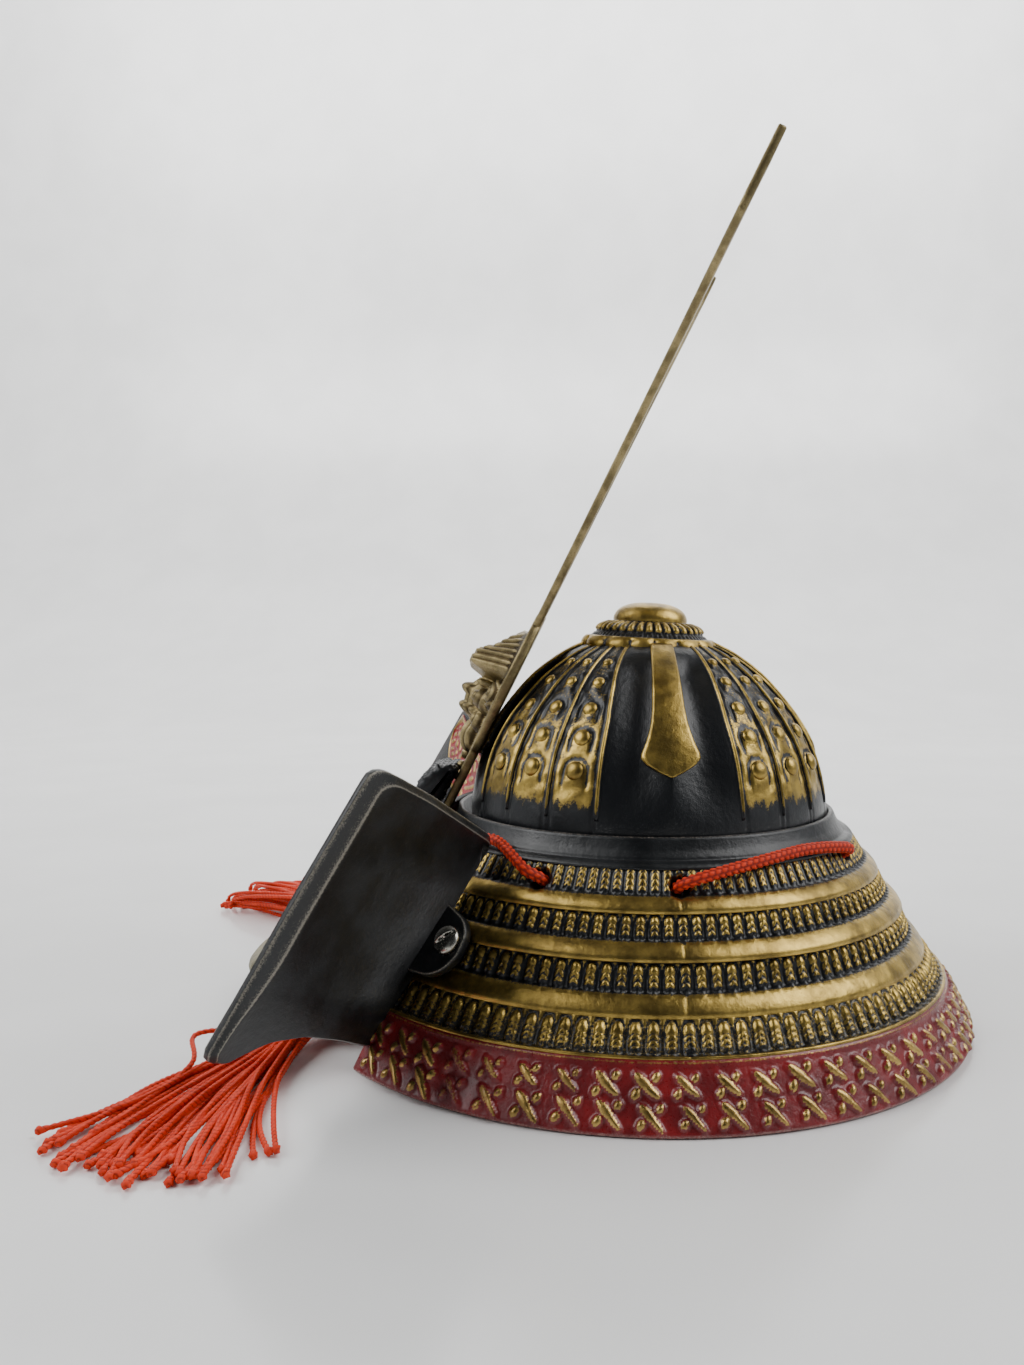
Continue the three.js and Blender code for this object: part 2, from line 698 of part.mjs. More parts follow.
function hornOutline() {
  const outer = [];
  const inner = [];
  const rows = HORN_ROWS.map((row) => ({
    out: row.out * HORN_TIP_OUT,
    along: row.along * HORN_TIP_ALONG,
    halfWidth: row.halfWidth * HORN_HALF_WIDTH,
  }));
  rows.forEach((row, i) => {
    const before = rows[Math.max(i - 1, 0)];
    const after = rows[Math.min(i + 1, rows.length - 1)];
    const run = new THREE.Vector2(after.out - before.out, after.along - before.along).normalize();
    outer.push([row.out + run.y * row.halfWidth, row.along - run.x * row.halfWidth]);
    inner.unshift([row.out - run.y * row.halfWidth, row.along + run.x * row.halfWidth]);
  });
  const fork = [
    [HORN_TIP_OUT, HORN_TIP_ALONG],
    [HORN_NOTCH.out * HORN_TIP_OUT, HORN_NOTCH.along * HORN_TIP_ALONG],
    [HORN_HOOK.out * HORN_TIP_OUT, HORN_HOOK.along * HORN_TIP_ALONG],
  ];
  return [...outer, ...fork, ...inner];
}

const hornShape = hornOutline();
const horn = plateOf(
  [
    { outline: hornShape, depth: (CREST_PLATE - HORN_PLATE) / 2 },
    { outline: hornShape, depth: (CREST_PLATE + HORN_PLATE) / 2 },
  ],
  crestFrame,
);

function maskHeight(u, v) {
  const edge = Math.max(0, 1 - (u / MASK_HALF_WIDTH) ** 4) * Math.sin(Math.PI * v) ** 0.5;
  let height = MASK_BASE;
  for (const bump of MASK_BUMPS) {
    const across = (Math.abs(u) / MASK_HALF_WIDTH - bump.out) / bump.wide;
    const up = (v - bump.along) / bump.tall;
    height += bump.height * MASK_RISE * Math.exp(-across * across - up * up);
  }
  return height * edge;
}

const shieldProfile = shieldRows.map((p) => ({ radius: p.halfWidth, height: p.along }));
const maskSections = [];
for (let j = 0; j <= MASK_UP; j += 1) {
  const v = j / MASK_UP;
  const along = MASK_FROM + (MASK_TO - MASK_FROM) * v;
  const half = Math.min(MASK_HALF_WIDTH, radiusAt(shieldProfile, along) - MASK_MARGIN);
  const front = [];
  for (let i = 0; i <= MASK_ACROSS; i += 1) {
    const u = half * (-1 + (2 * i) / MASK_ACROSS);
    front.push([u, CREST_PLATE - 0.2 + maskHeight((u / half) * MASK_HALF_WIDTH, v)]);
  }
  const section = [...front, [half, CREST_PLATE / 2], [-half, CREST_PLATE / 2]];
  maskSections.push(
    section.map(([u, depth]) =>
      crestFrame.origin
        .clone()
        .addScaledVector(crestFrame.across, u)
        .addScaledVector(crestFrame.up, along)
        .addScaledVector(crestFrame.out, depth),
    ),
  );
}
const collarClearance = turned(
  [
    { radius: COLLAR_RADIUS + GAP, height: LEDGE_BOTTOM - 4 },
    { radius: COLLAR_RADIUS + GAP, height: LEDGE_TOP + GAP },
    { radius: COLLAR_WAIST.radius + GAP, height: COLLAR_WAIST.height + GAP },
    { radius: COLLAR_TOP_RADIUS + GAP, height: COLLAR_TOP + GAP },
    { radius: LEDGE_RADIUS, height: COLLAR_TOP + GAP },
    { radius: LEDGE_RADIUS, height: LEDGE_BOTTOM - 4 },
  ],
  -90,
  90,
  COLLAR_STEPS / 2,
);
const crest = shield
  .add(skinOf(maskSections))
  .add(horn)
  .add(mirrored(horn))
  .subtract(collarClearance)
  .subtract(overBowl);

// Visor with the holder of the crest.
const visorSections = [];
for (let i = 0; i <= VISOR_STEPS; i += 1) {
  const bearing = VISOR_ANGLE * (-1 + (2 * i) / VISOR_STEPS);
  const side = Math.abs(bearing) / VISOR_ANGLE;
  const reach = THREE.MathUtils.lerp(
    VISOR_SIDE_REACH,
    VISOR_REACH,
    (1 - side ** VISOR_FULLNESS) ** (1 / VISOR_FULLNESS),
  );
  const [run, rise] = [Math.cos(rad(VISOR_SLOPE)), Math.sin(rad(VISOR_SLOPE))];
  visorSections.push(
    VISOR_SECTION.map((p) => {
      const along = p.share * reach + p.from * VISOR_LIP;
      const lift = p.rise * VISOR_THICKNESS;
      const radius = VISOR_ROOT + along * run + Math.max(lift, 0) * rise;
      return ringPoint(p.share === 0 ? VISOR_ROOT : radius, bearing, VISOR_HEIGHT - along * rise + lift * run);
    }),
  );
}
const holderShape = HOLDER_OUTLINE.map((p) => [
  -CREST_FORWARD - p.forward * HOLDER_REACH,
  CREST_FOOT_HEIGHT + p.height * HOLDER_RISE,
]);
const holderFrame = { origin: vec(0, 0, 0), across: vec(0, 1, 0), up: vec(0, 0, 1), out: vec(1, 0, 0) };
const holder = plateOf(
  [
    { outline: holderShape, depth: -HOLDER_HALF_WIDTH },
    { outline: holderShape, depth: HOLDER_HALF_WIDTH },
  ],
  holderFrame,
);
const socketOutline = [
  [-FOOT_HALF_WIDTH - GAP, -FOOT_DEPTH - GAP],
  [FOOT_HALF_WIDTH + GAP, -FOOT_DEPTH - GAP],
  [FOOT_HALF_WIDTH + GAP, 2 * FOOT_LENGTH],
  [-FOOT_HALF_WIDTH - GAP, 2 * FOOT_LENGTH],
];
const socket = plateOf(
  [
    { outline: socketOutline, depth: -HOLDER_REACH },
    { outline: socketOutline, depth: CREST_PLATE + GAP },
  ],
  crestFrame,
);
const visor = skinOf(visorSections).add(holder).subtract(socket).subtract(crestClearance());

// Room for the widest part of the crest's plate and its mask in front of the holder.
function crestClearance() {
  const outline = [
    [-1.3 * SHIELD_HALF_WIDTH, FOOT_LENGTH - GAP],
    [1.3 * SHIELD_HALF_WIDTH, FOOT_LENGTH - GAP],
    [1.3 * SHIELD_HALF_WIDTH, 2.6 * FOOT_LENGTH],
    [-1.3 * SHIELD_HALF_WIDTH, 2.6 * FOOT_LENGTH],
  ];
  return plateOf(
    [
      { outline, depth: -HOLDER_REACH },
      { outline, depth: HOLDER_REACH },
    ],
    crestFrame,
  );
}

// Wings. Depth is counted from the middle of the plate, positive towards the plain back.
function wingFrame(swing) {
  const topInner = pointOf(WING_TOP_INNER);
  const down = pointOf(WING_LOW_INNER).sub(topInner);
  const across = pointOf(WING_TOP_OUTER).sub(topInner).applyAxisAngle(down.clone().normalize(), rad(swing));
  const width = across.length();
  const height = down.length();
  across.normalize();
  const out = down.clone().cross(across).normalize().negate();
  const up = out.clone().cross(across).normalize();
  if (up.dot(down) > 0) up.negate();
  return { origin: topInner, across, up, out, width, height };
}

function insetOutline(frame, inset) {
  return WING_OUTLINE.map(({ across, down }) => {
    const u = across * frame.width - (across > 0.85 ? inset * WING_OUTER_BEVEL : 0);
    const low = down > 0.9 ? inset * WING_LOW_BEVEL : 0;
    const v = -down * frame.height - (down < 0.3 ? inset * WING_TOP_BEVEL : 0) + low;
    return [u, v];
  });
}

const guardClearance = turned(
  [
    ...guardOuter.slice(0, -2).map((p) => ({ radius: p.radius + GAP, height: p.height })),
    { radius: COLLAR_RADIUS + GAP, height: LEDGE_TOP + GAP },
    { radius: COLLAR_TOP_RADIUS + GAP, height: COLLAR_TOP + GAP },
    { radius: LEDGE_RADIUS, height: COLLAR_TOP + GAP },
    { radius: LEDGE_RADIUS, height: -1 },
    { radius: RIM_RADIUS + GAP, height: -1 },
  ],
  OPEN_ANGLE - 0.4,
  75,
  GUARD_STEPS,
);

const headClearance = drill(
  screwFrame,
  SCREW_HEAD + GAP,
  TAB_STANDOFF + TAB_THICKNESS,
  TAB_STANDOFF + TAB_THICKNESS + 3 * SCREW_HEAD_HEIGHT,
);

function wingSolid(swing) {
  const frame = wingFrame(swing);
  const plate = plateOf(
    WING_LAYERS.map(({ depth, inset }) => ({
      outline: insetOutline(frame, inset),
      depth: depth * WING_THICKNESS,
    })),
    frame,
  );
  const fieldOutline = FIELD_OUTLINE.map(({ across, down }) => [across * frame.width, -down * frame.height]);
  const field = plateOf(
    [
      { outline: fieldOutline, depth: WING_LAYERS[0].depth * WING_THICKNESS - FIELD_HEIGHT },
      { outline: fieldOutline, depth: 0 },
    ],
    frame,
  );
  const tabOutline = TAB_OUTLINE.map(({ across, up }) => [across * TAB_REACH, up * TAB_HALF_HEIGHT]);
  const tab = plateOf(
    [
      { outline: tabOutline, depth: TAB_STANDOFF },
      { outline: tabOutline, depth: TAB_STANDOFF + TAB_THICKNESS },
    ],
    screwFrame,
  );
  return plate.add(field).add(tab).subtract(guardClearance).subtract(screwBore).subtract(headClearance);
}

// Screws.
const headBase = TAB_STANDOFF + TAB_THICKNESS + GAP;
const headPoints = [
  new THREE.Vector2(0, headBase - SCREW_LENGTH),
  new THREE.Vector2(SCREW_SHANK, headBase - SCREW_LENGTH),
  new THREE.Vector2(SCREW_SHANK, headBase),
  new THREE.Vector2(SCREW_HEAD, headBase),
];
for (let i = 0; i <= HEAD_ROWS; i += 1) {
  const a = (Math.PI / 2) * (i / HEAD_ROWS);
  const lift = SCREW_HEAD_EDGE + (SCREW_HEAD_HEIGHT - SCREW_HEAD_EDGE) * Math.sin(a);
  headPoints.push(new THREE.Vector2(SCREW_HEAD * Math.cos(a), headBase + lift));
}
const slot = new THREE.BoxGeometry(SLOT_WIDTH, 2.4 * SCREW_HEAD, 2 * SLOT_DEPTH);
slot.rotateZ(rad(SLOT_TURN)).translate(0, 0, headBase + SCREW_HEAD_HEIGHT);
const slotCut = solidOf(placed(slot, screwFrame));
const screw = solidOf(placed(lathe(headPoints, SCREW_STEPS), screwFrame)).subtract(slotCut);

// Cord.
const half = CORD_ROUTE.map((p) => ringPoint(p.radius, p.bearing, p.height));
const otherHalf = half.slice(1).map((p) => vec(-p.x, p.y, p.z));
const knots = [
  ...[...RIGHT_CORD_END].reverse().map(pointOf),
  ...otherHalf.reverse(),
  ...half,
  ...LEFT_CORD_END.map(pointOf),
];
const curve = new THREE.CatmullRomCurve3(knots, false, "centripetal");
const cordPoints = [];
for (let i = 0; i < knots.length - 1; i += 1) {
  const parts = Math.max(1, Math.round(knots[i].distanceTo(knots[i + 1]) / CORD_STEP));
  for (let j = 0; j < parts; j += 1) cordPoints.push(curve.getPoint((i + j / parts) / (knots.length - 1)));
}
cordPoints.push(knots[knots.length - 1]);
const cord = tubeAlong(cordPoints, cordPoints.map(() => CORD_RADIUS), CORD_SIDES);

// Tassels.
function tasselSolid(end, before, tassel) {
  const run = end.clone().sub(before).normalize();
  const start = end.clone().addScaledVector(run, GAP);
  const finish = start.clone().addScaledVector(run, HEAD_LENGTH);
  finish.z = Math.max(finish.z, HEAD_RADIUS * 0.7 + LOCK_LIFT);
  const headShares = [
    { share: 0, radius: 0.45 },
    { share: 0.15, radius: 0.95 },
    { share: 0.4, radius: 1 },
    { share: 0.55, radius: 0.8 },
    { share: 0.75, radius: 0.95 },
    { share: 1, radius: 0.7 },
  ];
  let solid = tubeAlong(
    headShares.map((row) => start.clone().lerp(finish, row.share)),
    headShares.map((row) => row.radius * HEAD_RADIUS),
    HEAD_SIDES,
  );
  const far = vec(tassel.endX, tassel.endY, 0);
  const line = far.clone().sub(finish).setZ(0);
  const sideways = vec(-line.y, line.x, 0).normalize();
  for (let i = 0; i < LOCK_COUNT; i += 1) {
    const share = -1 + (2 * i) / (LOCK_COUNT - 1);
    const stretch = 1 - 0.1 * share * share + 0.06 * Math.sin(7 * i);
    const pile = i % 2 === 1 ? tassel.pile : 0;
    const points = LOCK_ROWS.map((row) => {
      const spread = tassel.spread * share * (0.12 + 0.88 * row.share) * row.share ** 0.35;
      const bow = tassel.bow * Math.sin(Math.PI * row.share);
      const at = finish
        .clone()
        .addScaledVector(line, row.share * stretch - 0.04)
        .addScaledVector(sideways, spread + bow);
      const floor = row.radius * LOCK_RADIUS + LOCK_LIFT + pile * (1 - tassel.droop * row.share);
      at.z = THREE.MathUtils.lerp(floor, finish.z, row.lift);
      return at;
    });
    solid = solid.add(tubeAlong(points, LOCK_ROWS.map((row) => row.radius * LOCK_RADIUS), LOCK_SIDES));
  }
  return solid;
}

const black = { color: 0x1c1e20, roughness: 0.4, metalness: 0.3 };
const lacedGilt = { color: 0x8a6a2a, roughness: 0.4, metalness: 0.8 };
const gilt = { color: 0xb08a3a, roughness: 0.3, metalness: 0.9 };
const brass = { color: 0xa08c5a, roughness: 0.4, metalness: 1 };
const nickel = { color: 0xa8a69c, roughness: 0.25, metalness: 1 };
const orange = { color: 0xd8431f, roughness: 0.7, metalness: 0 };

const pieces = [
  ["bowl", bowl, black],
  ["crown_fitting", crown, gilt],
  ["neck_guard", guard, lacedGilt],
  ["visor", visor, black],
  ["crest", crest, brass],
  ["wing_left", wingSolid(0), black],
  ["wing_right", mirrored(wingSolid(RIGHT_WING_SWING)), black],
  ["wing_screw_left", screw, nickel],
  ["wing_screw_right", mirrored(screw), nickel],
  ["cord", cord, orange],
  ["tassel_left", tasselSolid(knots[knots.length - 1], knots[knots.length - 2], LEFT_TASSEL), orange],
  ["tassel_right", tasselSolid(knots[0], knots[1], RIGHT_TASSEL), orange],
];
const onTheCord = ["cord", "tassel_left", "tassel_right"];

function meshOf(name, solid, look) {
  const mesh = solid.getMesh();
  const geometry = new THREE.BufferGeometry();
  geometry.setAttribute("position", new THREE.BufferAttribute(mesh.vertProperties, 3));
  geometry.setIndex(new THREE.BufferAttribute(mesh.triVerts, 1));
  const shown = new THREE.Mesh(geometry, new THREE.MeshStandardMaterial(look));
  shown.name = name;
  return shown;
}

const helmet = new THREE.Group();
helmet.name = "helmet";
const box = new THREE.Box3();
for (const [name, solid, look] of pieces) {
  const mesh = meshOf(name, solid, look);
  if (!onTheCord.includes(name)) box.expandByObject(mesh);
  helmet.add(mesh);
}

// The origin is under the middle of everything but the cord and its tassels.
const middle = box.getCenter(vec(0, 0, 0));
helmet.position.set(-middle.x, -middle.y, 0);

export default helmet;
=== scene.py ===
# %% [markdown]
# A small cast display helmet with a crest, two wings, a neck guard of gilt lames and an orange braided
# cord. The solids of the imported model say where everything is. This lesson dresses each of them in the
# relief, the gilding, the enamel and the braid that the real one shows.

# %% Start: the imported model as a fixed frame
import math

import bmesh
import bpy
import numpy as np
from mathutils import Matrix, Vector


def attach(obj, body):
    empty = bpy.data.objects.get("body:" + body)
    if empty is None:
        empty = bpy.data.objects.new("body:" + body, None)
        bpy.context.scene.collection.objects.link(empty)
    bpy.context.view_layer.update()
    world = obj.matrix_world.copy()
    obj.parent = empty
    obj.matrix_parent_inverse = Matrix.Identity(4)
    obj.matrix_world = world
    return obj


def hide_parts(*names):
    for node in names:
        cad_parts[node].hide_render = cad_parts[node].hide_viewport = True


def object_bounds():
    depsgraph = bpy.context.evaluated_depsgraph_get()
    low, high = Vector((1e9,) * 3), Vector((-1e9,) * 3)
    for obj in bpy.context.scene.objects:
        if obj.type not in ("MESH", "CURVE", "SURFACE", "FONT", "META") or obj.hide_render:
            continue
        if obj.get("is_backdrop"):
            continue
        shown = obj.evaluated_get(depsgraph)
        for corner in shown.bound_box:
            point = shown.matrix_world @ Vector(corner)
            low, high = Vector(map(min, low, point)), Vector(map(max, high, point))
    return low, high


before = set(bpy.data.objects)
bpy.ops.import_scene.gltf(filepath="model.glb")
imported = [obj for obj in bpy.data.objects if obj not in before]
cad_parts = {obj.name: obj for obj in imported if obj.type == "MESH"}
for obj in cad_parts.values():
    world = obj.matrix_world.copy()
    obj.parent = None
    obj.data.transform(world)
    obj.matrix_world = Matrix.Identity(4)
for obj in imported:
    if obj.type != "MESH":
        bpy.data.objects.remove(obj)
cad_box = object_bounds()
print("nodes:", sorted(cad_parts))

# %% [markdown]
# The helmet is drawn in millimetres about the middle of its bowl, as a caster would draw it, and then
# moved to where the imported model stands. The front is -Y, the wearer's left is +X. A bearing is counted
# from the front and grows towards the wearer's left.

# %% Millimetres to the frame, and the two round shapes everything is set out on
MM = 0.001
SHIFT = np.array([1.1039, 8.0085, 0.0])
OVAL = 1.02
LEAN = 0.055
LEAN_TOP = 43.0
BOWL_BACK = 3.2


def to_frame(points):
    return (np.asarray(points, dtype=float) + SHIFT) * MM


def ring(radius, bearing, height):
    """A point on the neck guard's rings, which are a little longer from front to back and lean back."""
    a = np.radians(bearing)
    middle = LEAN * np.minimum(height, LEAN_TOP)
    parts = (radius * np.sin(a), middle - OVAL * radius * np.cos(a), height)
    return np.stack(np.broadcast_arrays(*parts), axis=-1)


def bowl_ring(radius, bearing, height):
    """A point on the bowl, which is round."""
    a = np.radians(bearing)
    parts = (radius * np.sin(a), BOWL_BACK - radius * np.cos(a), height)
    return np.stack(np.broadcast_arrays(*parts), axis=-1)


def mirrored(points):
    return np.asarray(points, dtype=float) * np.array([-1.0, 1.0, 1.0])


def new_object(name, data):
    thing = bpy.data.objects.new(name, data)
    bpy.context.scene.collection.objects.link(thing)
    return thing


# %% [markdown]
# The camera stands where the photographer stood: close to the wearer's left side, just above the height
# of the knob and tipped down a little. A short lens gives the strong perspective of a small thing seen
# from near by.

# %% Camera
CAMERA_AT = (267.03, -18.21, 91.99)
CAMERA_YAW = math.radians(2.31)
CAMERA_PITCH = math.radians(3.34)
CAMERA_ROLL = math.radians(-0.11)
PHOTO_HEIGHT_PIXELS = 1365
FOCAL_PIXELS = 1114.6
SENSOR_HEIGHT = 36

camera_data = bpy.data.cameras.new("camera")
camera_data.sensor_fit = "VERTICAL"
camera_data.sensor_height = SENSOR_HEIGHT
camera_data.lens = SENSOR_HEIGHT * FOCAL_PIXELS / PHOTO_HEIGHT_PIXELS
camera_data.clip_start = 0.01
camera = new_object("camera", camera_data)
forward = Vector((
    -math.cos(CAMERA_PITCH) * math.cos(CAMERA_YAW),
    -math.cos(CAMERA_PITCH) * math.sin(CAMERA_YAW),
    -math.sin(CAMERA_PITCH),
))
right = forward.cross(Vector((0, 0, 1))).normalized()
above = right.cross(forward)
right, above = (
    right * math.cos(CAMERA_ROLL) + above * math.sin(CAMERA_ROLL),
    above * math.cos(CAMERA_ROLL) - right * math.sin(CAMERA_ROLL),
)
turn = Matrix((right, above, -forward)).transposed().to_4x4()
camera.matrix_world = Matrix.Translation(to_frame(CAMERA_AT)) @ turn
bpy.context.scene.camera = camera
print("camera lens", round(camera_data.lens, 2), "mm")

# %% [markdown]
# Materials are node trees. One function adds a node, with its settings, the values of its sockets and
# the links into them. Colours are written as the hex values that a painter would pick on a screen and
# turned to the linear values that Blender counts with.

# %% Helpers for materials


def colour(code):
    """An sRGB hex colour as linear red, green, blue and an alpha of 1."""
    shares = [int(code[i : i + 2], 16) / 255 for i in (1, 3, 5)]
    linear = [s / 12.92 if s <= 0.04045 else ((s + 0.055) / 1.055) ** 2.4 for s in shares]
    return (*linear, 1.0)


def add_node(tree, kind, values=None, links=None, **settings):
    """Adds one node: settings are its own fields, values and links go to its sockets."""
    node = tree.nodes.new(kind)
    for field, value in settings.items():
        setattr(node, field, value)
    for socket, value in (values or {}).items():
        node.inputs[socket].default_value = value
    for socket, source in (links or {}).items():
        tree.links.new(source, node.inputs[socket])
    return node


def new_finish(name, **values):
    """A material with one Principled shader, and where its noises are measured: the object's metres."""
    material = bpy.data.materials.new(name)
    material.use_nodes = True
    tree = material.node_tree
    tree.nodes.clear()
    shader = add_node(tree, "ShaderNodeBsdfPrincipled", values=values.get("sockets"))
    add_node(tree, "ShaderNodeOutputMaterial", links={"Surface": shader.outputs[0]})
    place = add_node(tree, "ShaderNodeTexCoord").outputs["Object"]
    return material, tree, shader, place


def noise(tree, place, size_mm, detail=3.0, roughness=0.55):
    """Cloudy noise whose blots are about size_mm across."""
    values = {"Scale": 1 / (size_mm * MM), "Detail": detail, "Roughness": roughness}
    return add_node(tree, "ShaderNodeTexNoise", values=values, links={"Vector": place}).outputs[0]


def ramp(tree, source, low, high, from_value=0.0, to_value=1.0):
    """A soft step: from_value below low, to_value above high."""
    values = {"From Min": low, "From Max": high, "To Min": from_value, "To Max": to_value}
    node = add_node(
        tree, "ShaderNodeMapRange", values=values, links={"Value": source}, interpolation_type="SMOOTHSTEP"
    )
    return node.outputs["Result"]


def blend(tree, share, first, second):
    """Two colours or values mixed by a share; each is a socket, a hex colour or a number."""
    kind = "FLOAT" if isinstance(first, (int, float)) or isinstance(second, (int, float)) else "RGBA"
    node = add_node(tree, "ShaderNodeMix", data_type=kind)
    start = {"FLOAT": 2, "RGBA": 6}[kind]
    tree.links.new(share, node.inputs[0])
    for index, value in ((start, first), (start + 1, second)):
        if isinstance(value, bpy.types.NodeSocket):
            tree.links.new(value, node.inputs[index])
        else:
            node.inputs[index].default_value = colour(value) if isinstance(value, str) else value
    return node.outputs[{"FLOAT": 0, "RGBA": 2}[kind]]


def combine(tree, operation, first, second):
    node = add_node(tree, "ShaderNodeMath", operation=operation)
    for index, value in enumerate((first, second)):
        if isinstance(value, bpy.types.NodeSocket):
            tree.links.new(value, node.inputs[index])
        else:
            node.inputs[index].default_value = value
    return node.outputs[0]


def painted(tree, name):
    """A mask that the mesh carries on its vertices."""
    return add_node(tree, "ShaderNodeAttribute", attribute_name=name).outputs["Fac"]


def speckled(tree, name, grain, share=0.9):
    """A painted mask whose border a noise breaks up."""
    return combine(tree, "ADD", painted(tree, name), combine(tree, "MULTIPLY", grain, share))


def relief(tree, shader, height, depth_mm):
    """Bumps too small for the mesh: the height's full range stands for depth_mm."""
    values = {"Distance": depth_mm * MM, "Strength": 1.0}
    node = add_node(tree, "ShaderNodeBump", values=values, links={"Height": height})
    tree.links.new(node.outputs[0], shader.inputs["Normal"])


# %% [markdown]
# Black lacquer over cast metal: sprayed, semi-gloss and handled, so its gloss is broken by rubbing, it
# has a faint orange peel, and the metal or the primer shows pale where an edge has worn. The mesh says
# with its mask "wear" where the edges are. On the wings the same pale also stands for a painted highlight
# along the ridges of their bevels.

# %% Black lacquer


def make_black_lacquer(name="black_lacquer", base="#0e1012", worn="#7c7268", rough=0.34, speck_mm=0.45):
    material, tree, shader, place = new_finish(name, sockets={"IOR": 1.5})
    cloud = noise(tree, place, 8, 4)
    speck = noise(tree, place, speck_mm, 3, 0.6)
    wrinkle = noise(tree, place, 1.5, 4, 0.6)
    body = blend(tree, ramp(tree, cloud, 0.35, 0.7), base, "#1a1c1e")
    edge = ramp(tree, speckled(tree, "wear", speck), 0.86, 1.3)
    tree.links.new(blend(tree, edge, body, worn), shader.inputs["Base Color"])
    sheen = ramp(tree, cloud, 0.3, 0.75, rough - 0.04, rough + 0.12)
    tree.links.new(blend(tree, edge, sheen, 0.5), shader.inputs["Roughness"])
    tree.links.new(combine(tree, "MULTIPLY", edge, 0.6), shader.inputs["Metallic"])
    relief(tree, shader, combine(tree, "ADD", combine(tree, "MULTIPLY", speck, 0.35), wrinkle), 0.11)
    return material


black_lacquer = make_black_lacquer()
# The wings' lacquer: its pale worn colour also serves as a painted highlight on the bevel ridges.
wing_lacquer = make_black_lacquer("worn_and_highlit_black_lacquer", "#0f1011", "#8b867b", 0.4, 0.3)
print("material:", black_lacquer.name, wing_lacquer.name)

# %% [markdown]
# Antique gilt: gold lacquer rubbed over the black one. It stays on what stands proud, and the black shows
# in every recess and in a fine speckle. The mask "gilt" carries how much gold a place holds; the noise
# breaks its border up as the rubbing did.

# %% Antique gilt over black lacquer


def make_gilt(name="antique_gilt", bright="#c4a658", dull="#7c6838", under="#0e1013", rough=0.3):
    material, tree, shader, place = new_finish(name)
    cloud = noise(tree, place, 5, 4, 0.6)
    speck = noise(tree, place, 0.5, 4, 0.75)
    grain = noise(tree, place, 0.22, 2)
    wrinkle = noise(tree, place, 1.6, 3, 0.6)
    share = ramp(tree, speckled(tree, "gilt", speck), 0.78, 1.0)
    gold = blend(tree, ramp(tree, cloud, 0.3, 0.7), dull, bright)
    gold = blend(tree, ramp(tree, speck, 0.26, 0.4), "#66501f", gold)
    tree.links.new(blend(tree, share, under, gold), shader.inputs["Base Color"])
    tree.links.new(share, shader.inputs["Metallic"])
    gloss = ramp(tree, grain, 0.3, 0.7, rough + 0.1, rough)
    tree.links.new(blend(tree, share, 0.34, gloss), shader.inputs["Roughness"])
    bumps = combine(tree, "ADD", combine(tree, "MULTIPLY", grain, 0.3), wrinkle)
    relief(tree, shader, bumps, 0.12)
    return material


antique_gilt = make_gilt()
print("material:", antique_gilt.name)

# %% [markdown]
# Red enamel with gilt relief: the bottom lame is flooded with a glossy red and the crosses are rubbed
# with gold. At the rim the red is thin, and pale metal shows.

# %% Red enamel


def make_enamel(name="red_enamel", red="#8c1f22", deep="#6a1418"):
    material, tree, shader, place = new_finish(name, sockets={"Coat Weight": 0.3, "Coat Roughness": 0.12})
    cloud = noise(tree, place, 6, 3)
    speck = noise(tree, place, 0.5, 4, 0.7)
    share = ramp(tree, speckled(tree, "gilt", speck), 0.82, 1.06)
    worn = ramp(tree, speckled(tree, "wear", speck), 1.0, 1.3)
    body = blend(tree, ramp(tree, cloud, 0.35, 0.7), deep, red)
    body = blend(tree, worn, body, "#a88078")
    gold = blend(tree, ramp(tree, cloud, 0.35, 0.65), "#9c8048", "#caa860")
    tree.links.new(blend(tree, share, body, gold), shader.inputs["Base Color"])
    tree.links.new(share, shader.inputs["Metallic"])
    tree.links.new(ramp(tree, speck, 0.3, 0.7, 0.26, 0.38), shader.inputs["Roughness"])
    wrinkle = noise(tree, place, 1.4, 2)
    relief(tree, shader, combine(tree, "ADD", wrinkle, combine(tree, "MULTIPLY", speck, 0.5)), 0.14)
    return material


red_enamel = make_enamel()
print("material:", red_enamel.name)

# %% [markdown]
# Aged brass: the crest is a bare casting, tumbled and browned. It is duller and greener than the gilt,
# with a fine casting grain and dark in the recesses, which the mask "deep" carries.

# %% Aged brass


def make_brass(name="aged_brass", bright="#a4946a", dull="#73674a"):
    material, tree, shader, place = new_finish(name, sockets={"Metallic": 1.0})
    cloud = noise(tree, place, 5, 4, 0.65)
    grain = noise(tree, place, 0.3, 4, 0.7)
    metal = blend(tree, ramp(tree, cloud, 0.35, 0.7), dull, bright)
    metal = blend(tree, ramp(tree, grain, 0.3, 0.45), "#6e5f42", metal)
    dark = speckled(tree, "deep", grain, 0.4)
    metal = blend(tree, ramp(tree, dark, 0.5, 1.1), metal, "#3a2f1e")
    tree.links.new(metal, shader.inputs["Base Color"])
    tree.links.new(ramp(tree, grain, 0.3, 0.7, 0.46, 0.3), shader.inputs["Roughness"])
    relief(tree, shader, grain, 0.1)
    return material


aged_brass = make_brass()
print("material:", aged_brass.name)

# %% [markdown]
# Nickel plate on the screws: turned, bright and a little scratched.

# %% Nickel plate


def make_nickel(name="nickel_plate"):
    material, tree, shader, place = new_finish(name, sockets={"Metallic": 1.0})
    scratch = noise(tree, place, 0.5, 5, 0.7)
    plate = blend(tree, ramp(tree, scratch, 0.3, 0.7), "#8e8a80", "#c9c6bc")
    tree.links.new(plate, shader.inputs["Base Color"])
    tree.links.new(ramp(tree, scratch, 0.3, 0.7, 0.3, 0.18), shader.inputs["Roughness"])
    relief(tree, shader, scratch, 0.02)
    return material


nickel_plate = make_nickel()
print("material:", nickel_plate.name)
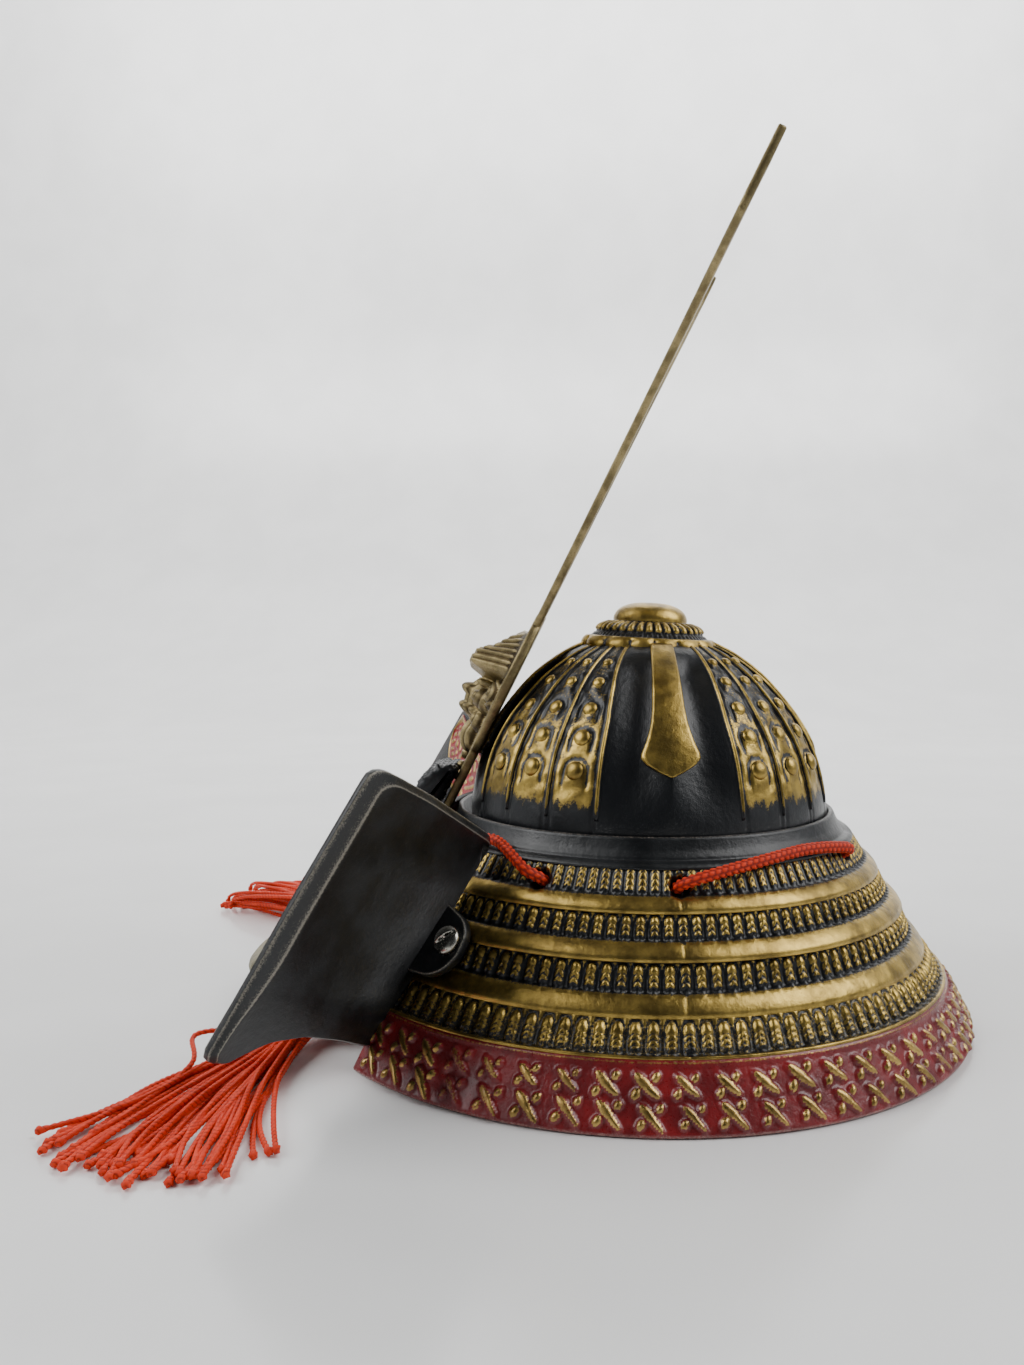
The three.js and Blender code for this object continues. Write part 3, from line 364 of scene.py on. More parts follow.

# %% [markdown]
# Orange silk-like rayon: spun fibres that catch the light along the strand. Its hollows carry a painted
# shade, a dark orange that the mask "deep" calls up, so the colour is saturated in the hollows and paler
# on the crowns. A little sheen stands for the loose fibres.

# %% Orange rayon


def make_rayon(name="orange_rayon", light="#e8401b", deep="#7e1607"):
    sockets = {"Roughness": 0.6, "Sheen Weight": 0.08, "Sheen Roughness": 0.4, "Specular IOR Level": 0.3}
    material, tree, shader, place = new_finish(name, sockets=sockets)
    shader.inputs["Sheen Tint"].default_value = colour("#ff9a70")
    fibre = noise(tree, place, 0.3, 3, 0.7)
    cloud = noise(tree, place, 4, 2)
    body = blend(tree, ramp(tree, cloud, 0.3, 0.7), "#d4330f", light)
    # Painted shade: where the mask "deep" marks a hollow, the orange goes dark towards the deep colour.
    dark = speckled(tree, "deep", fibre, 0.25)
    body = blend(tree, ramp(tree, dark, 0.4, 1.1), body, deep)
    tree.links.new(body, shader.inputs["Base Color"])
    relief(tree, shader, fibre, 0.06)
    return material


orange_rayon = make_rayon()
print("material:", orange_rayon.name)

# %% [markdown]
# Every piece below is a mesh made from rows of closed loops. These helpers join the rows to a closed body,
# which either goes round or has its two ends filled, and paint the masks on its vertices.

# %% Helpers for meshes


def make_piece(name, points, faces, material, masks, replaces):
    """A mesh in the frame, riding on the helmet's one body. Masks are painted on its vertices."""
    mesh = bpy.data.meshes.new(name)
    mesh.from_pydata(to_frame(points).tolist(), [], faces)
    for mask, values in masks.items():
        layer = mesh.attributes.new(mask, "FLOAT", "POINT")
        layer.data.foreach_set("value", np.asarray(values, dtype=np.float32).ravel())
    body = bmesh.new()
    body.from_mesh(mesh)
    bmesh.ops.recalc_face_normals(body, faces=body.faces)
    body.to_mesh(mesh)
    body.free()
    mesh.shade_smooth()
    mesh.materials.append(material)
    piece = new_object(name, mesh)
    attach(piece, "root")
    if replaces:
        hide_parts(*replaces)
    print(name, len(mesh.polygons), "faces")
    return piece


def loop_faces(rows, count, round_rows=False, start=0):
    """Faces of a sweep: rows of closed loops of count points, its ends filled unless it goes round."""
    faces = []
    for i in range(rows if round_rows else rows - 1):
        a = start + i * count
        b = start + ((i + 1) % rows) * count
        faces += [(a + j, b + j, b + (j + 1) % count, a + (j + 1) % count) for j in range(count)]
    if not round_rows:
        faces.append(tuple(range(start, start + count)))
        faces.append(tuple(range(start + (rows - 1) * count, start + rows * count)))
    return faces


class Heap:
    """Several closed bodies that go into one mesh."""

    def __init__(self):
        self.points, self.faces, self.masks, self.count = [], [], {}, 0

    def add(self, loops, round_rows=False, **masks):
        loops = np.asarray(loops, dtype=float)
        rows, count = loops.shape[:2]
        self.faces += loop_faces(rows, count, round_rows, self.count)
        self.points.append(loops.reshape(-1, 3))
        for mask in ("gilt", "wear", "deep"):
            values = np.broadcast_to(masks.get(mask, 0.0), (rows, count)).reshape(-1)
            self.masks.setdefault(mask, []).append(values)
        self.count += rows * count

    def make(self, name, material, replaces=()):
        masks = {mask: np.concatenate(parts) for mask, parts in self.masks.items()}
        return make_piece(name, np.concatenate(self.points), self.faces, material, masks, replaces)


def smooth_line(points, count):
    """Points evenly spaced along a centripetal Catmull-Rom curve through the given ones."""
    points = np.asarray(points, dtype=float)
    full = np.vstack([2 * points[0] - points[1], points, 2 * points[-1] - points[-2]])
    dense = []
    for i in range(1, len(full) - 2):
        p0, p1, p2, p3 = full[i - 1 : i + 3]
        d0, d1, d2 = (max(np.linalg.norm(b - a) ** 0.5, 1e-4) for a, b in ((p0, p1), (p1, p2), (p2, p3)))
        m1 = d1 * ((p1 - p0) / d0 - (p2 - p0) / (d0 + d1) + (p2 - p1) / d1)
        m2 = d1 * ((p2 - p1) / d1 - (p3 - p1) / (d1 + d2) + (p3 - p2) / d2)
        t = np.linspace(0, 1, 24, endpoint=False)[:, None]
        dense.append(
            p1 + m1 * t + (3 * (p2 - p1) - 2 * m1 - m2) * t**2 + (2 * (p1 - p2) + m1 + m2) * t**3
        )
    dense = np.vstack(dense + [points[-1:]])
    return evenly(dense, count)


def distances(points):
    """How far along a line each of its points lies."""
    return np.concatenate([[0], np.cumsum(np.linalg.norm(np.diff(points, axis=0), axis=1))])


def evenly(points, count):
    """The same line with count points at even spacing."""
    along = distances(points)
    wanted = np.linspace(0, along[-1], count)
    return np.stack([np.interp(wanted, along, points[:, k]) for k in range(points.shape[1])], axis=1)


def tube_frames(points):
    """Two unit vectors across the line at each of its points, turning as little as they can."""
    tangents = np.gradient(points, axis=0)
    tangents /= np.linalg.norm(tangents, axis=1)[:, None]
    side = np.cross(tangents[0], (0, 0, 1.0))
    if np.linalg.norm(side) < 0.1:
        side = np.array([1.0, 0, 0])
    sides = []
    for t in tangents:
        side = side - t * np.dot(side, t)
        side = side / np.linalg.norm(side)
        sides.append(side)
    sides = np.array(sides)
    return sides, np.cross(tangents, sides)


def tube(points, radii):
    """Loops round a line; radii holds one row of radii per point, one for each side."""
    sides, ups = tube_frames(points)
    radii = np.asarray(radii, dtype=float)
    angles = 2 * np.pi * np.arange(radii.shape[1]) / radii.shape[1]
    across = np.cos(angles)[None, :, None] * sides[:, None, :]
    upward = np.sin(angles)[None, :, None] * ups[:, None, :]
    return points[:, None, :] + radii[:, :, None] * (across + upward)


def between(value, low, high):
    """A soft step from 0 at low to 1 at high."""
    t = np.clip((value - low) / (high - low), 0, 1)
    return t * t * (3 - 2 * t)


def bell(value, width):
    return np.exp(-((value / width) ** 2))


def normals_of(profile):
    """Outward normals of a profile that is drawn from the bottom up, in radius and height."""
    run = np.gradient(profile, axis=0)
    normal = np.stack([run[:, 1], -run[:, 0]], axis=1)
    return normal / np.linalg.norm(normal, axis=1)[:, None]


def pushed(profile, normals, push):
    """Radius and height of every point of a profile that goes round, moved along its normal by push."""
    moved = profile + push[..., None] * normals
    return moved[..., 0], moved[..., 1]


def padded(mask, count):
    """A mask with no paint on the count points of the body's inside that follow those of its skin."""
    return np.pad(mask, ((0, 0), (0, count)))


def lookup(rows, at):
    """The value at a place, read from rows of (place, value)."""
    return np.interp(at, [place for place, _ in rows], [value for _, value in rows])


# %% [markdown]
# The cord is one round braid that runs inside the neck guard, comes out through a hole, lies over the
# shoulder, goes in again, and comes down at the open front to a tassel at either end. Its route is the
# one that the solids follow. It is drawn as a tube whose skin is pushed out into slanting plaits, since
# a curve with a round bevel would look like wire.

# %% Cord
CORD_DIAMETER = 2.5
CORD_ROUTE_POINTS = 1000
RINGS_PER_PLAIT = 6
PLAIT = 1.45
CORD_ROUTE = [
    (180, 44.6, 37.4), (166, 44.6, 37.4), (154, 44.4, 37.6), (149.6, 45.2, 38.8), (148.5, 48.0, 41.0),
    (146.2, 49.7, 42.4), (140, 49.2, 43.5), (128, 48.2, 44.2), (115, 49.0, 43.4), (104, 50.2, 42.0),
    (97.2, 51.0, 40.7), (94.5, 49.25, 39.2), (93.0, 46.1, 36.9), (87, 44.8, 35.8), (69, 44.8, 35.8),
    (63.3, 46.1, 36.9), (61.8, 49.25, 39.2), (59, 51.0, 40.9), (54, 49.6, 43.0), (48, 47.4, 44.5),
    (43, 46.7, 44.8), (38.5, 47.6, 43.6), (36.4, 50.4, 40.2), (35.6, 53.3, 35), (35.4, 57.2, 26),
    (35.3, 62.0, 15),
]
LEFT_CORD_END = [(34.6, -57.6, 10.2), (33.6, -62.6, 8.4)]
RIGHT_CORD_END = [(-37.6, -58.6, 9.4), (-42.6, -67.2, 7.2)]

half = [ring(radius, bearing, height) for bearing, radius, height in CORD_ROUTE]
other_half = [mirrored(point) for point in half[1:]]
knots = np.array([*RIGHT_CORD_END[::-1], *other_half[::-1], *half, *LEFT_CORD_END], dtype=float)
LEFT_CORE = [(32.2, -71.5, 3.4), (41.0, -78.5, 2.6)]
RIGHT_CORE = [(-47.5, -75.4, 3.4), (-57.5, -85.5, 2.6)]
cord_line = smooth_line(np.vstack([RIGHT_CORE[::-1], knots, LEFT_CORE]), CORD_ROUTE_POINTS)
cord_length = np.linalg.norm(np.diff(cord_line, axis=0), axis=1).sum()
cord_line = evenly(cord_line, int(cord_length / PLAIT * RINGS_PER_PLAIT))
along = np.linspace(0, cord_length, len(cord_line))[:, None]
CORD_SIDES = 18
PLAIT_COLUMNS = 6
turn_share = np.arange(CORD_SIDES) / CORD_SIDES * PLAIT_COLUMNS
column = np.floor(turn_share)
across = turn_share - column - 0.5
slant = np.where(column % 2 == 0, 1.0, -1.0)
lobe = 0.5 + 0.5 * np.cos(2 * np.pi * (along / PLAIT + slant * across * 0.5 + 0.25 * slant))
crown = np.cos(np.pi * across * 0.92)[None, :]
plait = np.sqrt(lobe) * crown**0.7
cord_heap = Heap()
# Painted shade: the mask "deep" darkens the creases between the plaits.
cord_heap.add(tube(cord_line, CORD_DIAMETER / 2 * (0.74 + 0.28 * plait)), deep=1.05 - plait)
cord_piece = cord_heap.make("braided_cord", orange_rayon, ["cord"])
print("cord length", round(cord_length, 1), "mm")

# %% [markdown]
# Each tassel is a bound head and about fifty loose strands of twisted rayon that lie on the table in a
# fan. Every strand is a thin tube of two plies with a knot near its end. It starts in the bundle behind
# the head, falls to the table and wanders a little, and the first one loops out. A seeded generator gives
# each its own wander, so that the tassel is the same on every run.

# %% Tassels
HEAD_RADIUS = 3.6
HEAD_LENGTH = 9.0
HEAD_OUTLINE = [
    (0, 0.5), (0.1, 0.9), (0.3, 1), (0.48, 0.86), (0.56, 0.74), (0.64, 0.9), (0.85, 1), (1, 0.75),
]
STRAND_SIDES = 5
STRAND_RADIUS = 0.56
STRAND_COUNT = 54
STRAND_STEP = 0.42
TWIST = 1.3
LOOP_REACH = 9


def tassel(name, node, end, before, far, spread, bow, pile, seed):
    rng = np.random.default_rng(seed)
    run = (end - before) / np.linalg.norm(end - before)
    start = end + run * 0.3
    finish = start + run * HEAD_LENGTH
    finish[2] = max(finish[2], HEAD_RADIUS * 0.7 + 0.15)
    heap = Heap()
    shares = np.linspace(0, 1, 40)
    outline = lookup(HEAD_OUTLINE, shares)
    sides = 2 * np.pi * np.arange(24) / 24
    wrap = 0.06 * np.abs(np.sin(shares[:, None] * 38 + sides[None, :]))
    head_line = start + (finish - start) * shares[:, None]
    # Painted shade: the grooves of the binding on the head are darkened through the mask "deep".
    heap.add(tube(head_line, HEAD_RADIUS * (outline[:, None] - wrap)), deep=wrap * 10)
    line = np.array([far[0], far[1], 0.0]) - finish
    line[2] = 0
    length = np.linalg.norm(line)
    sideways = np.array([-line[1], line[0], 0.0]) / length
    for i in range(STRAND_COUNT):
        share = -1 + 2 * (i + 0.5) / STRAND_COUNT + rng.normal(0, 0.12)
        stretch = 1 - 0.1 * share * share + rng.uniform(-0.13, 0.06)
        layer = rng.uniform(0, 1)
        bundle_angle = rng.uniform(0, 2 * np.pi)
        bundle_radius = HEAD_RADIUS * 0.72 * math.sqrt(rng.uniform(0, 1))
        waves = rng.normal(0, 1, 4) * np.array([2.2, 1.2, 0.6, 0.3])
        curl = rng.uniform(-1, 1)
        t = np.linspace(0, 1, 64)
        fan = spread * share * (0.12 + 0.88 * t) * t**0.35
        wander = sum(w * np.sin(np.pi * (k + 1) * t + curl) * t for k, w in enumerate(waves))
        lateral = fan + bow * np.sin(np.pi * t) + wander
        lateral = lateral + bundle_radius * math.cos(bundle_angle) * (1 - between(t, 0, 0.3))
        low = STRAND_RADIUS + 0.1 + layer * pile * (1 - t) ** (3 / pile) + 0.8 * layer
        high = finish[2] + bundle_radius * math.sin(bundle_angle)
        z = low + (high - low) * (1 - between(t, -0.1, 0.42))
        if i == 0:
            lateral = lateral - LOOP_REACH * bell(t - 0.36, 0.11)
            z = z + 2.5 * bell(t - 0.36, 0.2)
        path = finish + line * (t * stretch - 0.05)[:, None] + sideways * lateral[:, None]
        path[:, 2] = np.maximum(z, STRAND_RADIUS + 0.05)
        steps = int(np.linalg.norm(np.diff(path, axis=0), axis=1).sum() / STRAND_STEP)
        path = evenly(path, steps)
        s = np.arange(steps)[:, None] * STRAND_STEP
        angle = 2 * np.pi * np.arange(STRAND_SIDES)[None, :] / STRAND_SIDES
        ply = np.abs(np.cos(angle - np.pi * s / TWIST))
        radius = STRAND_RADIUS * (0.74 + 0.34 * ply)
        end_at = steps * STRAND_STEP
        knot = bell(s - (end_at - 1.3), 0.7) * 0.6
        fray = 1 - between(s, end_at - 0.7, end_at) * 0.6
        # Painted shade: the mask "deep" darkens the groove between the two plies.
        heap.add(tube(path, radius * (1 + knot) * fray), deep=(1 - ply) * 0.9)
    return heap.make(name, orange_rayon, [node])


left_tassel = tassel(
    "left_tassel", "tassel_left", knots[-1], knots[-2], (95.2, -92), 19.5, -3, 3.5, 3,
)
right_tassel = tassel(
    "right_tassel", "tassel_right", knots[0], knots[1], (-98, -116), 20, 0, 9.5, 5,
)

# %% [markdown]
# The bowl is a dome with four gilt sectors of ribs and rivets and four hollow black fields between them.
# Its ribs run to a pole a little behind its middle, and close up towards it. The dome itself carries the
# shallow things: the fluting of the fields and the grooves round the rivets. One dense grid round the
# dome, each point pushed in or out along its normal, gives these.

# %% Bowl
BOWL_OUTER = [
    (41.8, 43.7), (41.8, 48.6), (40.8, 54.6), (39.2, 60.2), (37.4, 64.3), (34.7, 68.8), (31.2, 73.4),
    (26.8, 78.2), (22.8, 81.4), (18.4, 84.2), (13.0, 86.4), (3.2, 87.6),
]
BOWL_INNER = [
    (3.2, 85.2), (12, 84), (21, 79.6), (29, 72.6), (34, 66), (37.2, 59.2), (39.4, 50), (39.5, 43.7),
]
BOWL_COLUMNS = 600
BOWL_ROWS = 96
RIB_PITCHES = [(43, 15.7), (70, 15.7), (77, 14.6), (87.7, 11.4)]
POLE_BACK = 2.1
RIVET_ROWS = [(59.9, 2.1), (66.6, 1.9), (72.4, 1.7), (77.8, 1.45), (81.9, 1.2)]

bowl_outer = smooth_line(BOWL_OUTER, BOWL_ROWS)
bowl_normals = normals_of(bowl_outer)
bowl_slope = distances(bowl_outer)


def bowl_at(height):
    """Radius, slope length and normal of the dome at a height."""
    heights = bowl_outer[:, 1]
    return (
        np.interp(height, heights, bowl_outer[:, 0]),
        np.interp(height, heights, bowl_slope),
        np.stack([np.interp(height, heights, bowl_normals[:, k]) for k in (0, 1)], axis=-1),
    )


def rib_pitch(height):
    """Degrees from rib to rib, which close up towards the crown."""
    return lookup(RIB_PITCHES, height)


def about_pole(bearing, radius):
    """The ribs run to a pole a little behind the middle of the dome: their bearing from the middle."""
    a = np.radians(bearing)
    reach = POLE_BACK * np.cos(a) + np.sqrt(radius**2 - (POLE_BACK * np.sin(a)) ** 2)
    return np.degrees(np.arctan2(reach * np.sin(a), reach * np.cos(a) - POLE_BACK))


def on_bowl(height, bearing, lift):
    radius, _, normal = bowl_at(height)
    bearing = about_pole(bearing, radius)
    return bowl_ring(radius + lift * normal[..., 0], bearing, height + lift * normal[..., 1])


columns = np.linspace(0, 360, BOWL_COLUMNS, endpoint=False)
height_row = bowl_outer[None, :, 1]
pitch_row = rib_pitch(height_row)
from_sector = ((columns % 90) - 45)[:, None]
ribs_out = np.abs(from_sector) / pitch_row
in_sector = between(1.54 - ribs_out, 0, 0.05)
in_field = (45 - np.abs(from_sector)) / (45 - 1.5 * pitch_row)
flute = np.sin(np.pi * np.clip(in_field, 0, 1)) ** 1.3
flute_share = between(height_row, 47, 60) * (1 - between(height_row, 80, 84.5))
push = -1.7 * flute * flute_share
ragged = (0.5 * np.sin(columns * 0.9) + 0.4 * np.sin(columns * 2.3 + 1))[:, None]
gilt = in_sector * between(height_row + ragged, 50, 56.5)
gilt = gilt * (1 - 0.45 * between(height_row, 66, 74)) * (0.62 + 0.3 * (1 - between(height_row, 58, 64)))
patches = np.sin(columns[:, None] * 0.71 + 2 * np.sin(height_row * 0.5))
patches = patches * np.sin(height_row * 1.05 + columns[:, None] * 0.2)
gilt = gilt * (1 - 0.3 * between(patches, 0.3, 0.9))
push = push + 0.16 * patches * in_sector * flute_share
for column in (-1, 0, 1):
    for rivet_height, rivet_radius in RIVET_ROWS:
        _, slope_here, _ = bowl_at(rivet_height)
        sideways = np.radians(from_sector - column * rib_pitch(rivet_height)) * bowl_outer[None, :, 0]
        upward = bowl_slope[None, :] - slope_here
        away = np.where(upward > 0, np.hypot(sideways, upward), np.abs(sideways)) - rivet_radius * 1.3
        leg = between(upward, -2.3 * rivet_radius, -1.2 * rivet_radius)
        groove = bell(away, 0.36) * leg * (upward < rivet_radius * 2)
        push = push - 0.42 * groove * in_sector
        swell = bell(np.hypot(sideways, upward + 0.5 * rivet_radius), rivet_radius * 1.1)
        push = push + 0.3 * swell * in_sector
        gilt = np.maximum(gilt, 0.62 * swell * in_sector) * (1 - 0.95 * groove)
for rib in (0.5, 1.5):
    beside = np.radians(np.abs(np.abs(from_sector) - rib * pitch_row)) * bowl_outer[None, :, 0]
    line_beside = bell(beside - 0.8, 0.4)
    gilt = gilt * (1 - 0.9 * line_beside)
    push = push - 0.22 * line_beside * in_sector
inner = smooth_line(BOWL_INNER, len(BOWL_INNER))
radius, height = pushed(bowl_outer, bowl_normals, push)
outer_points = bowl_ring(radius, about_pole(columns[:, None], bowl_outer[None, :, 0]), height)
inner_points = bowl_ring(inner[None, :, 0], columns[:, None], inner[None, :, 1])
bowl_heap = Heap()
bowl_heap.add(
    np.concatenate([outer_points, inner_points], axis=1),
    round_rows=True,
    gilt=padded(gilt, len(inner)),
)
bowl_heap.make("bowl_shell", antique_gilt, ["bowl"])

# %% [markdown]
# Ribs, rivets and tongues stand on the dome. Each is its own small closed body seated a little below the
# dome's skin, and together they make one mesh. The gold is strongest on their crowns.

# %% Relief of the bowl
relief_heap = Heap()
RIB_TOP = 85.6
RIB_FOOT = 50.2
RIB_STEPS = 44
RIB_CROSS = [(-0.6, -0.6), (-0.5, 0.1), (-0.24, 0.6), (0, 0.72), (0.24, 0.6), (0.5, 0.1), (0.6, -0.6)]
RIB_GILT = np.array([0, 0.1, 0.85, 1, 0.85, 0.1, 0])
RIVET_SIDES = 16
RIVET_CROSS = [(1.0, -0.7), (1.0, 0.05), (0.93, 0.3), (0.74, 0.56), (0.45, 0.72), (0.12, 0.78)]
RIVET_RISE = 0.72
rivet_angles = 2 * np.pi * np.arange(RIVET_SIDES) / RIVET_SIDES
for sector in (45, 135, 225, 315):
    for rib_offset in (-1.5, -0.5, 0.5, 1.5):
        heights = np.linspace(RIB_FOOT, RIB_TOP, RIB_STEPS)
        radius, _, _ = bowl_at(heights)
        swell = np.sin(np.pi * np.linspace(0.02, 0.98, RIB_STEPS)) ** 0.3
        wide = 1.0 if abs(rib_offset) > 1 else 0.75
        loops = []
        for across_mm, lift in RIB_CROSS:
            bearing = sector + rib_offset * rib_pitch(heights) + np.degrees(across_mm * wide / radius)
            loops.append(on_bowl(heights, bearing, np.where(lift > 0, lift * swell, lift)))
        crown_gilt = RIB_GILT[None, :] * between(heights, 50, 54)[:, None]
        relief_heap.add(np.stack(loops, axis=1), gilt=crown_gilt)
    for column in (-1, 0, 1):
        for rivet_height, rivet_radius in RIVET_ROWS:
            radius, _, normal = bowl_at(rivet_height)
            bearing = sector + column * rib_pitch(rivet_height)
            a = math.radians(about_pole(bearing, radius))
            away = np.array([math.sin(a), -math.cos(a), 0.0])
            out = away * normal[0] + np.array([0, 0, normal[1]])
            side = np.array([math.cos(a), math.sin(a), 0.0])
            up = np.cross(out, side)
            middle = on_bowl(np.array(rivet_height), bearing, 0.0)
            edge = side * np.cos(rivet_angles)[:, None] + up * np.sin(rivet_angles)[:, None]
            dome = []
            for share, lift in RIVET_CROSS:
                dome.append(middle + edge * rivet_radius * share + out * lift * rivet_radius * RIVET_RISE)
            relief_heap.add(np.array(dome), gilt=np.array([0, 0.2, 0.7, 1, 1, 1])[:, None])
relief_heap.make("ribs_and_rivets", antique_gilt)

# %% Tongues of the four black fields
TONGUE_ROWS = [
    (85.6, 2.6), (82, 2.8), (78, 3.1), (73, 3.45), (70, 3.85), (68, 4.4), (66, 5.1), (63.8, 6.1),
    (62.8, 6.2), (61.6, 5.0), (60.2, 2.6), (59.2, 0.4),
]
TONGUE_STEPS = 70
tongue_line = evenly(np.array(TONGUE_ROWS, dtype=float), TONGUE_STEPS)
TONGUE_CROSS = [
    (-1, -0.9), (-1, 0.2), (-0.93, 0.55), (-0.82, 0.62), (0, 0.66), (0.82, 0.62), (0.93, 0.55), (1, 0.2),
    (1, -0.9),
]
TONGUE_GILT = np.array([0, 0.4, 1, 0.8, 0.8, 0.8, 1, 0.4, 0])
tongue_heap = Heap()
for bearing in (0, 90, 180, 270):
    loops = []
    for share, lift in TONGUE_CROSS:
        radius, _, _ = bowl_at(tongue_line[:, 0])
        sideways = np.degrees(share * tongue_line[:, 1] / radius)
        loops.append(on_bowl(tongue_line[:, 0], bearing + sideways, lift))
    tongue_heap.add(np.stack(loops, axis=1), gilt=TONGUE_GILT[None, :])
tongue_heap.make("tongues", antique_gilt)

# %% [markdown]
# The fitting on the crown of the bowl rises in steps: a lumpy gilt rim, a dark flange of fine lines, a
# ring of narrow petals and a plain knob. A grid round its profile is pushed in between lobes and petals.

# %% Crown fitting
CROWN_PROFILE = [
    (15.3, -1.2), (16.1, 0.2), (16.0, 1.4), (15.3, 2.4), (14.5, 2.9), (13.8, 3.0), (13.2, 3.3), (12.7, 3.8),
    (12.3, 4.6), (11.6, 5.2), (10.6, 5.6), (9.6, 5.95), (8.9, 6.2), (8.75, 6.6), (8.6, 7.5), (8.0, 8.6),
    (7.0, 9.5), (5.6, 10.15), (3.9, 10.6), (2.0, 10.8), (0.3, 10.85),
]
CROWN_SEAT = 84.6
CROWN_BACK = 3.6
CROWN_TILT = math.radians(3)
CROWN_COLUMNS = 360
CROWN_ROWS = 80
crown_line = smooth_line(CROWN_PROFILE, CROWN_ROWS)
crown_normals = normals_of(crown_line)
around = np.linspace(0, 2 * np.pi, CROWN_COLUMNS, endpoint=False)[:, None]
height_row = crown_line[None, :, 1]
LOBES = 15
PETALS = 36
LINES = 72
lobe_band = (1 - between(height_row, 2.2, 2.9)) * between(height_row, -1.0, 0.2)
line_band = between(height_row, 2.8, 3.0) * (1 - between(height_row, 3.4, 3.8))
petal_band = between(height_row, 3.7, 4.2) * (1 - between(height_row, 5.9, 6.2))
lobe_gap = 1 - np.abs(np.sin(around * LOBES / 2 + 0.5 * np.sin(around * 3))) ** 0.5
line_gap = 1 - np.abs(np.sin(around * LINES / 2)) ** 0.6
petal_gap = 1 - np.abs(np.sin(around * PETALS / 2)) ** 0.5
push = -1.0 * lobe_gap * lobe_band - 0.3 * line_gap * line_band - 0.85 * petal_gap * petal_band
push = push + 0.45 * petal_band * (1 - petal_gap)
gold = 0.95 - 0.9 * (lobe_gap * lobe_band + petal_gap * petal_band)
gold = gold - 0.6 * line_band - 0.3 * petal_band
for seam in (2.95, 3.75, 6.3):
    gold = gold - 0.8 * bell(height_row - seam, 0.2)
    push = push - 0.25 * bell(height_row - seam, 0.2)
radius, height = pushed(crown_line, crown_normals, push)
local = np.stack([radius * np.cos(around), radius * np.sin(around), height], axis=-1)
floor_ring = np.stack([0.3 * np.cos(around), 0.3 * np.sin(around), np.full_like(around, -1.0)], axis=-1)
local = np.concatenate([local, floor_ring], axis=1)
tilted = np.stack(
    [
        local[..., 0],
        local[..., 1] * math.cos(CROWN_TILT) + local[..., 2] * math.sin(CROWN_TILT) + CROWN_BACK,
        -local[..., 1] * math.sin(CROWN_TILT) + local[..., 2] * math.cos(CROWN_TILT) + CROWN_SEAT,
    ],
    axis=-1,
)
crown_heap = Heap()
crown_heap.add(tilted, round_rows=True, gilt=padded(gold, 1))
crown_heap.make("crown_knob", antique_gilt, ["crown_fitting"])

# %% [markdown]
# The neck guard copies lames laced with braid: four rows of little arched plaits between plain gilt bands,
# and a red enamelled lame at the bottom with two rows of gilt crosses. The plaits are made by one function
# of the place in the row: a rounded column with an arched head, a dark rim round it, and strokes that fall
# away from its middle like an ear of wheat.

# %% Lames of the neck guard
OPEN_ANGLE = 39
BRAIDS = 99
BRAID_STEPS = 13
BAND_ROWS = 5
LACE_ROWS = 20
LAME_WALL = 2.6
BAND_SWELL = 0.35
LACE_SUNK = 0.45
SEAM_BEARING = 94.5
HOLES = [(61.8, 39.2), (94.5, 39.2), (148.5, 41.0)]
guard_columns = np.linspace(OPEN_ANGLE, 360 - OPEN_ANGLE, BRAIDS * BRAID_STEPS + 1)
guard_rng = np.random.default_rng(11)


def braid(x, t, teeth, arched):
    """Height and gilding of one plait: x runs from -0.5 to 0.5 across its pitch, t up the row."""
    side = np.abs(x) / 0.35
    head = np.clip((t - 0.6) / 0.3, 0, None) if arched else np.clip((t - 0.75) / 0.2, 0, None)
    foot = np.clip((0.08 - t) / 0.1, 0, None)
    out = side**2 + head**2 + foot**2
    body = np.clip(1 - out, 0, 1) ** 0.45
    below_cap = 1 - between(t, 0.5, 0.64) if arched else 1.0
    stroke = (0.5 + 0.5 * np.cos(2 * np.pi * (t * teeth + side * 0.8))) * below_cap + (1 - below_cap)
    split = bell(x, 0.04) * below_cap
    height = body * (0.62 + 0.34 * stroke) - 0.2 * split * body
    gold = between(body, 0.3, 0.6) * (0.36 + 0.64 * stroke) * (1 - 0.35 * split) * between(t, 0.02, 0.2)
    if arched:
        rim = bell(out - 1.5, 0.28) * between(t, 0.3, 0.6)
        cusp = between(out, 1.85, 2.1) * between(t, 0.6, 0.75)
        height = height + 0.4 * rim + 0.55 * cusp
        gold = gold + 0.75 * cusp
    return height, gold


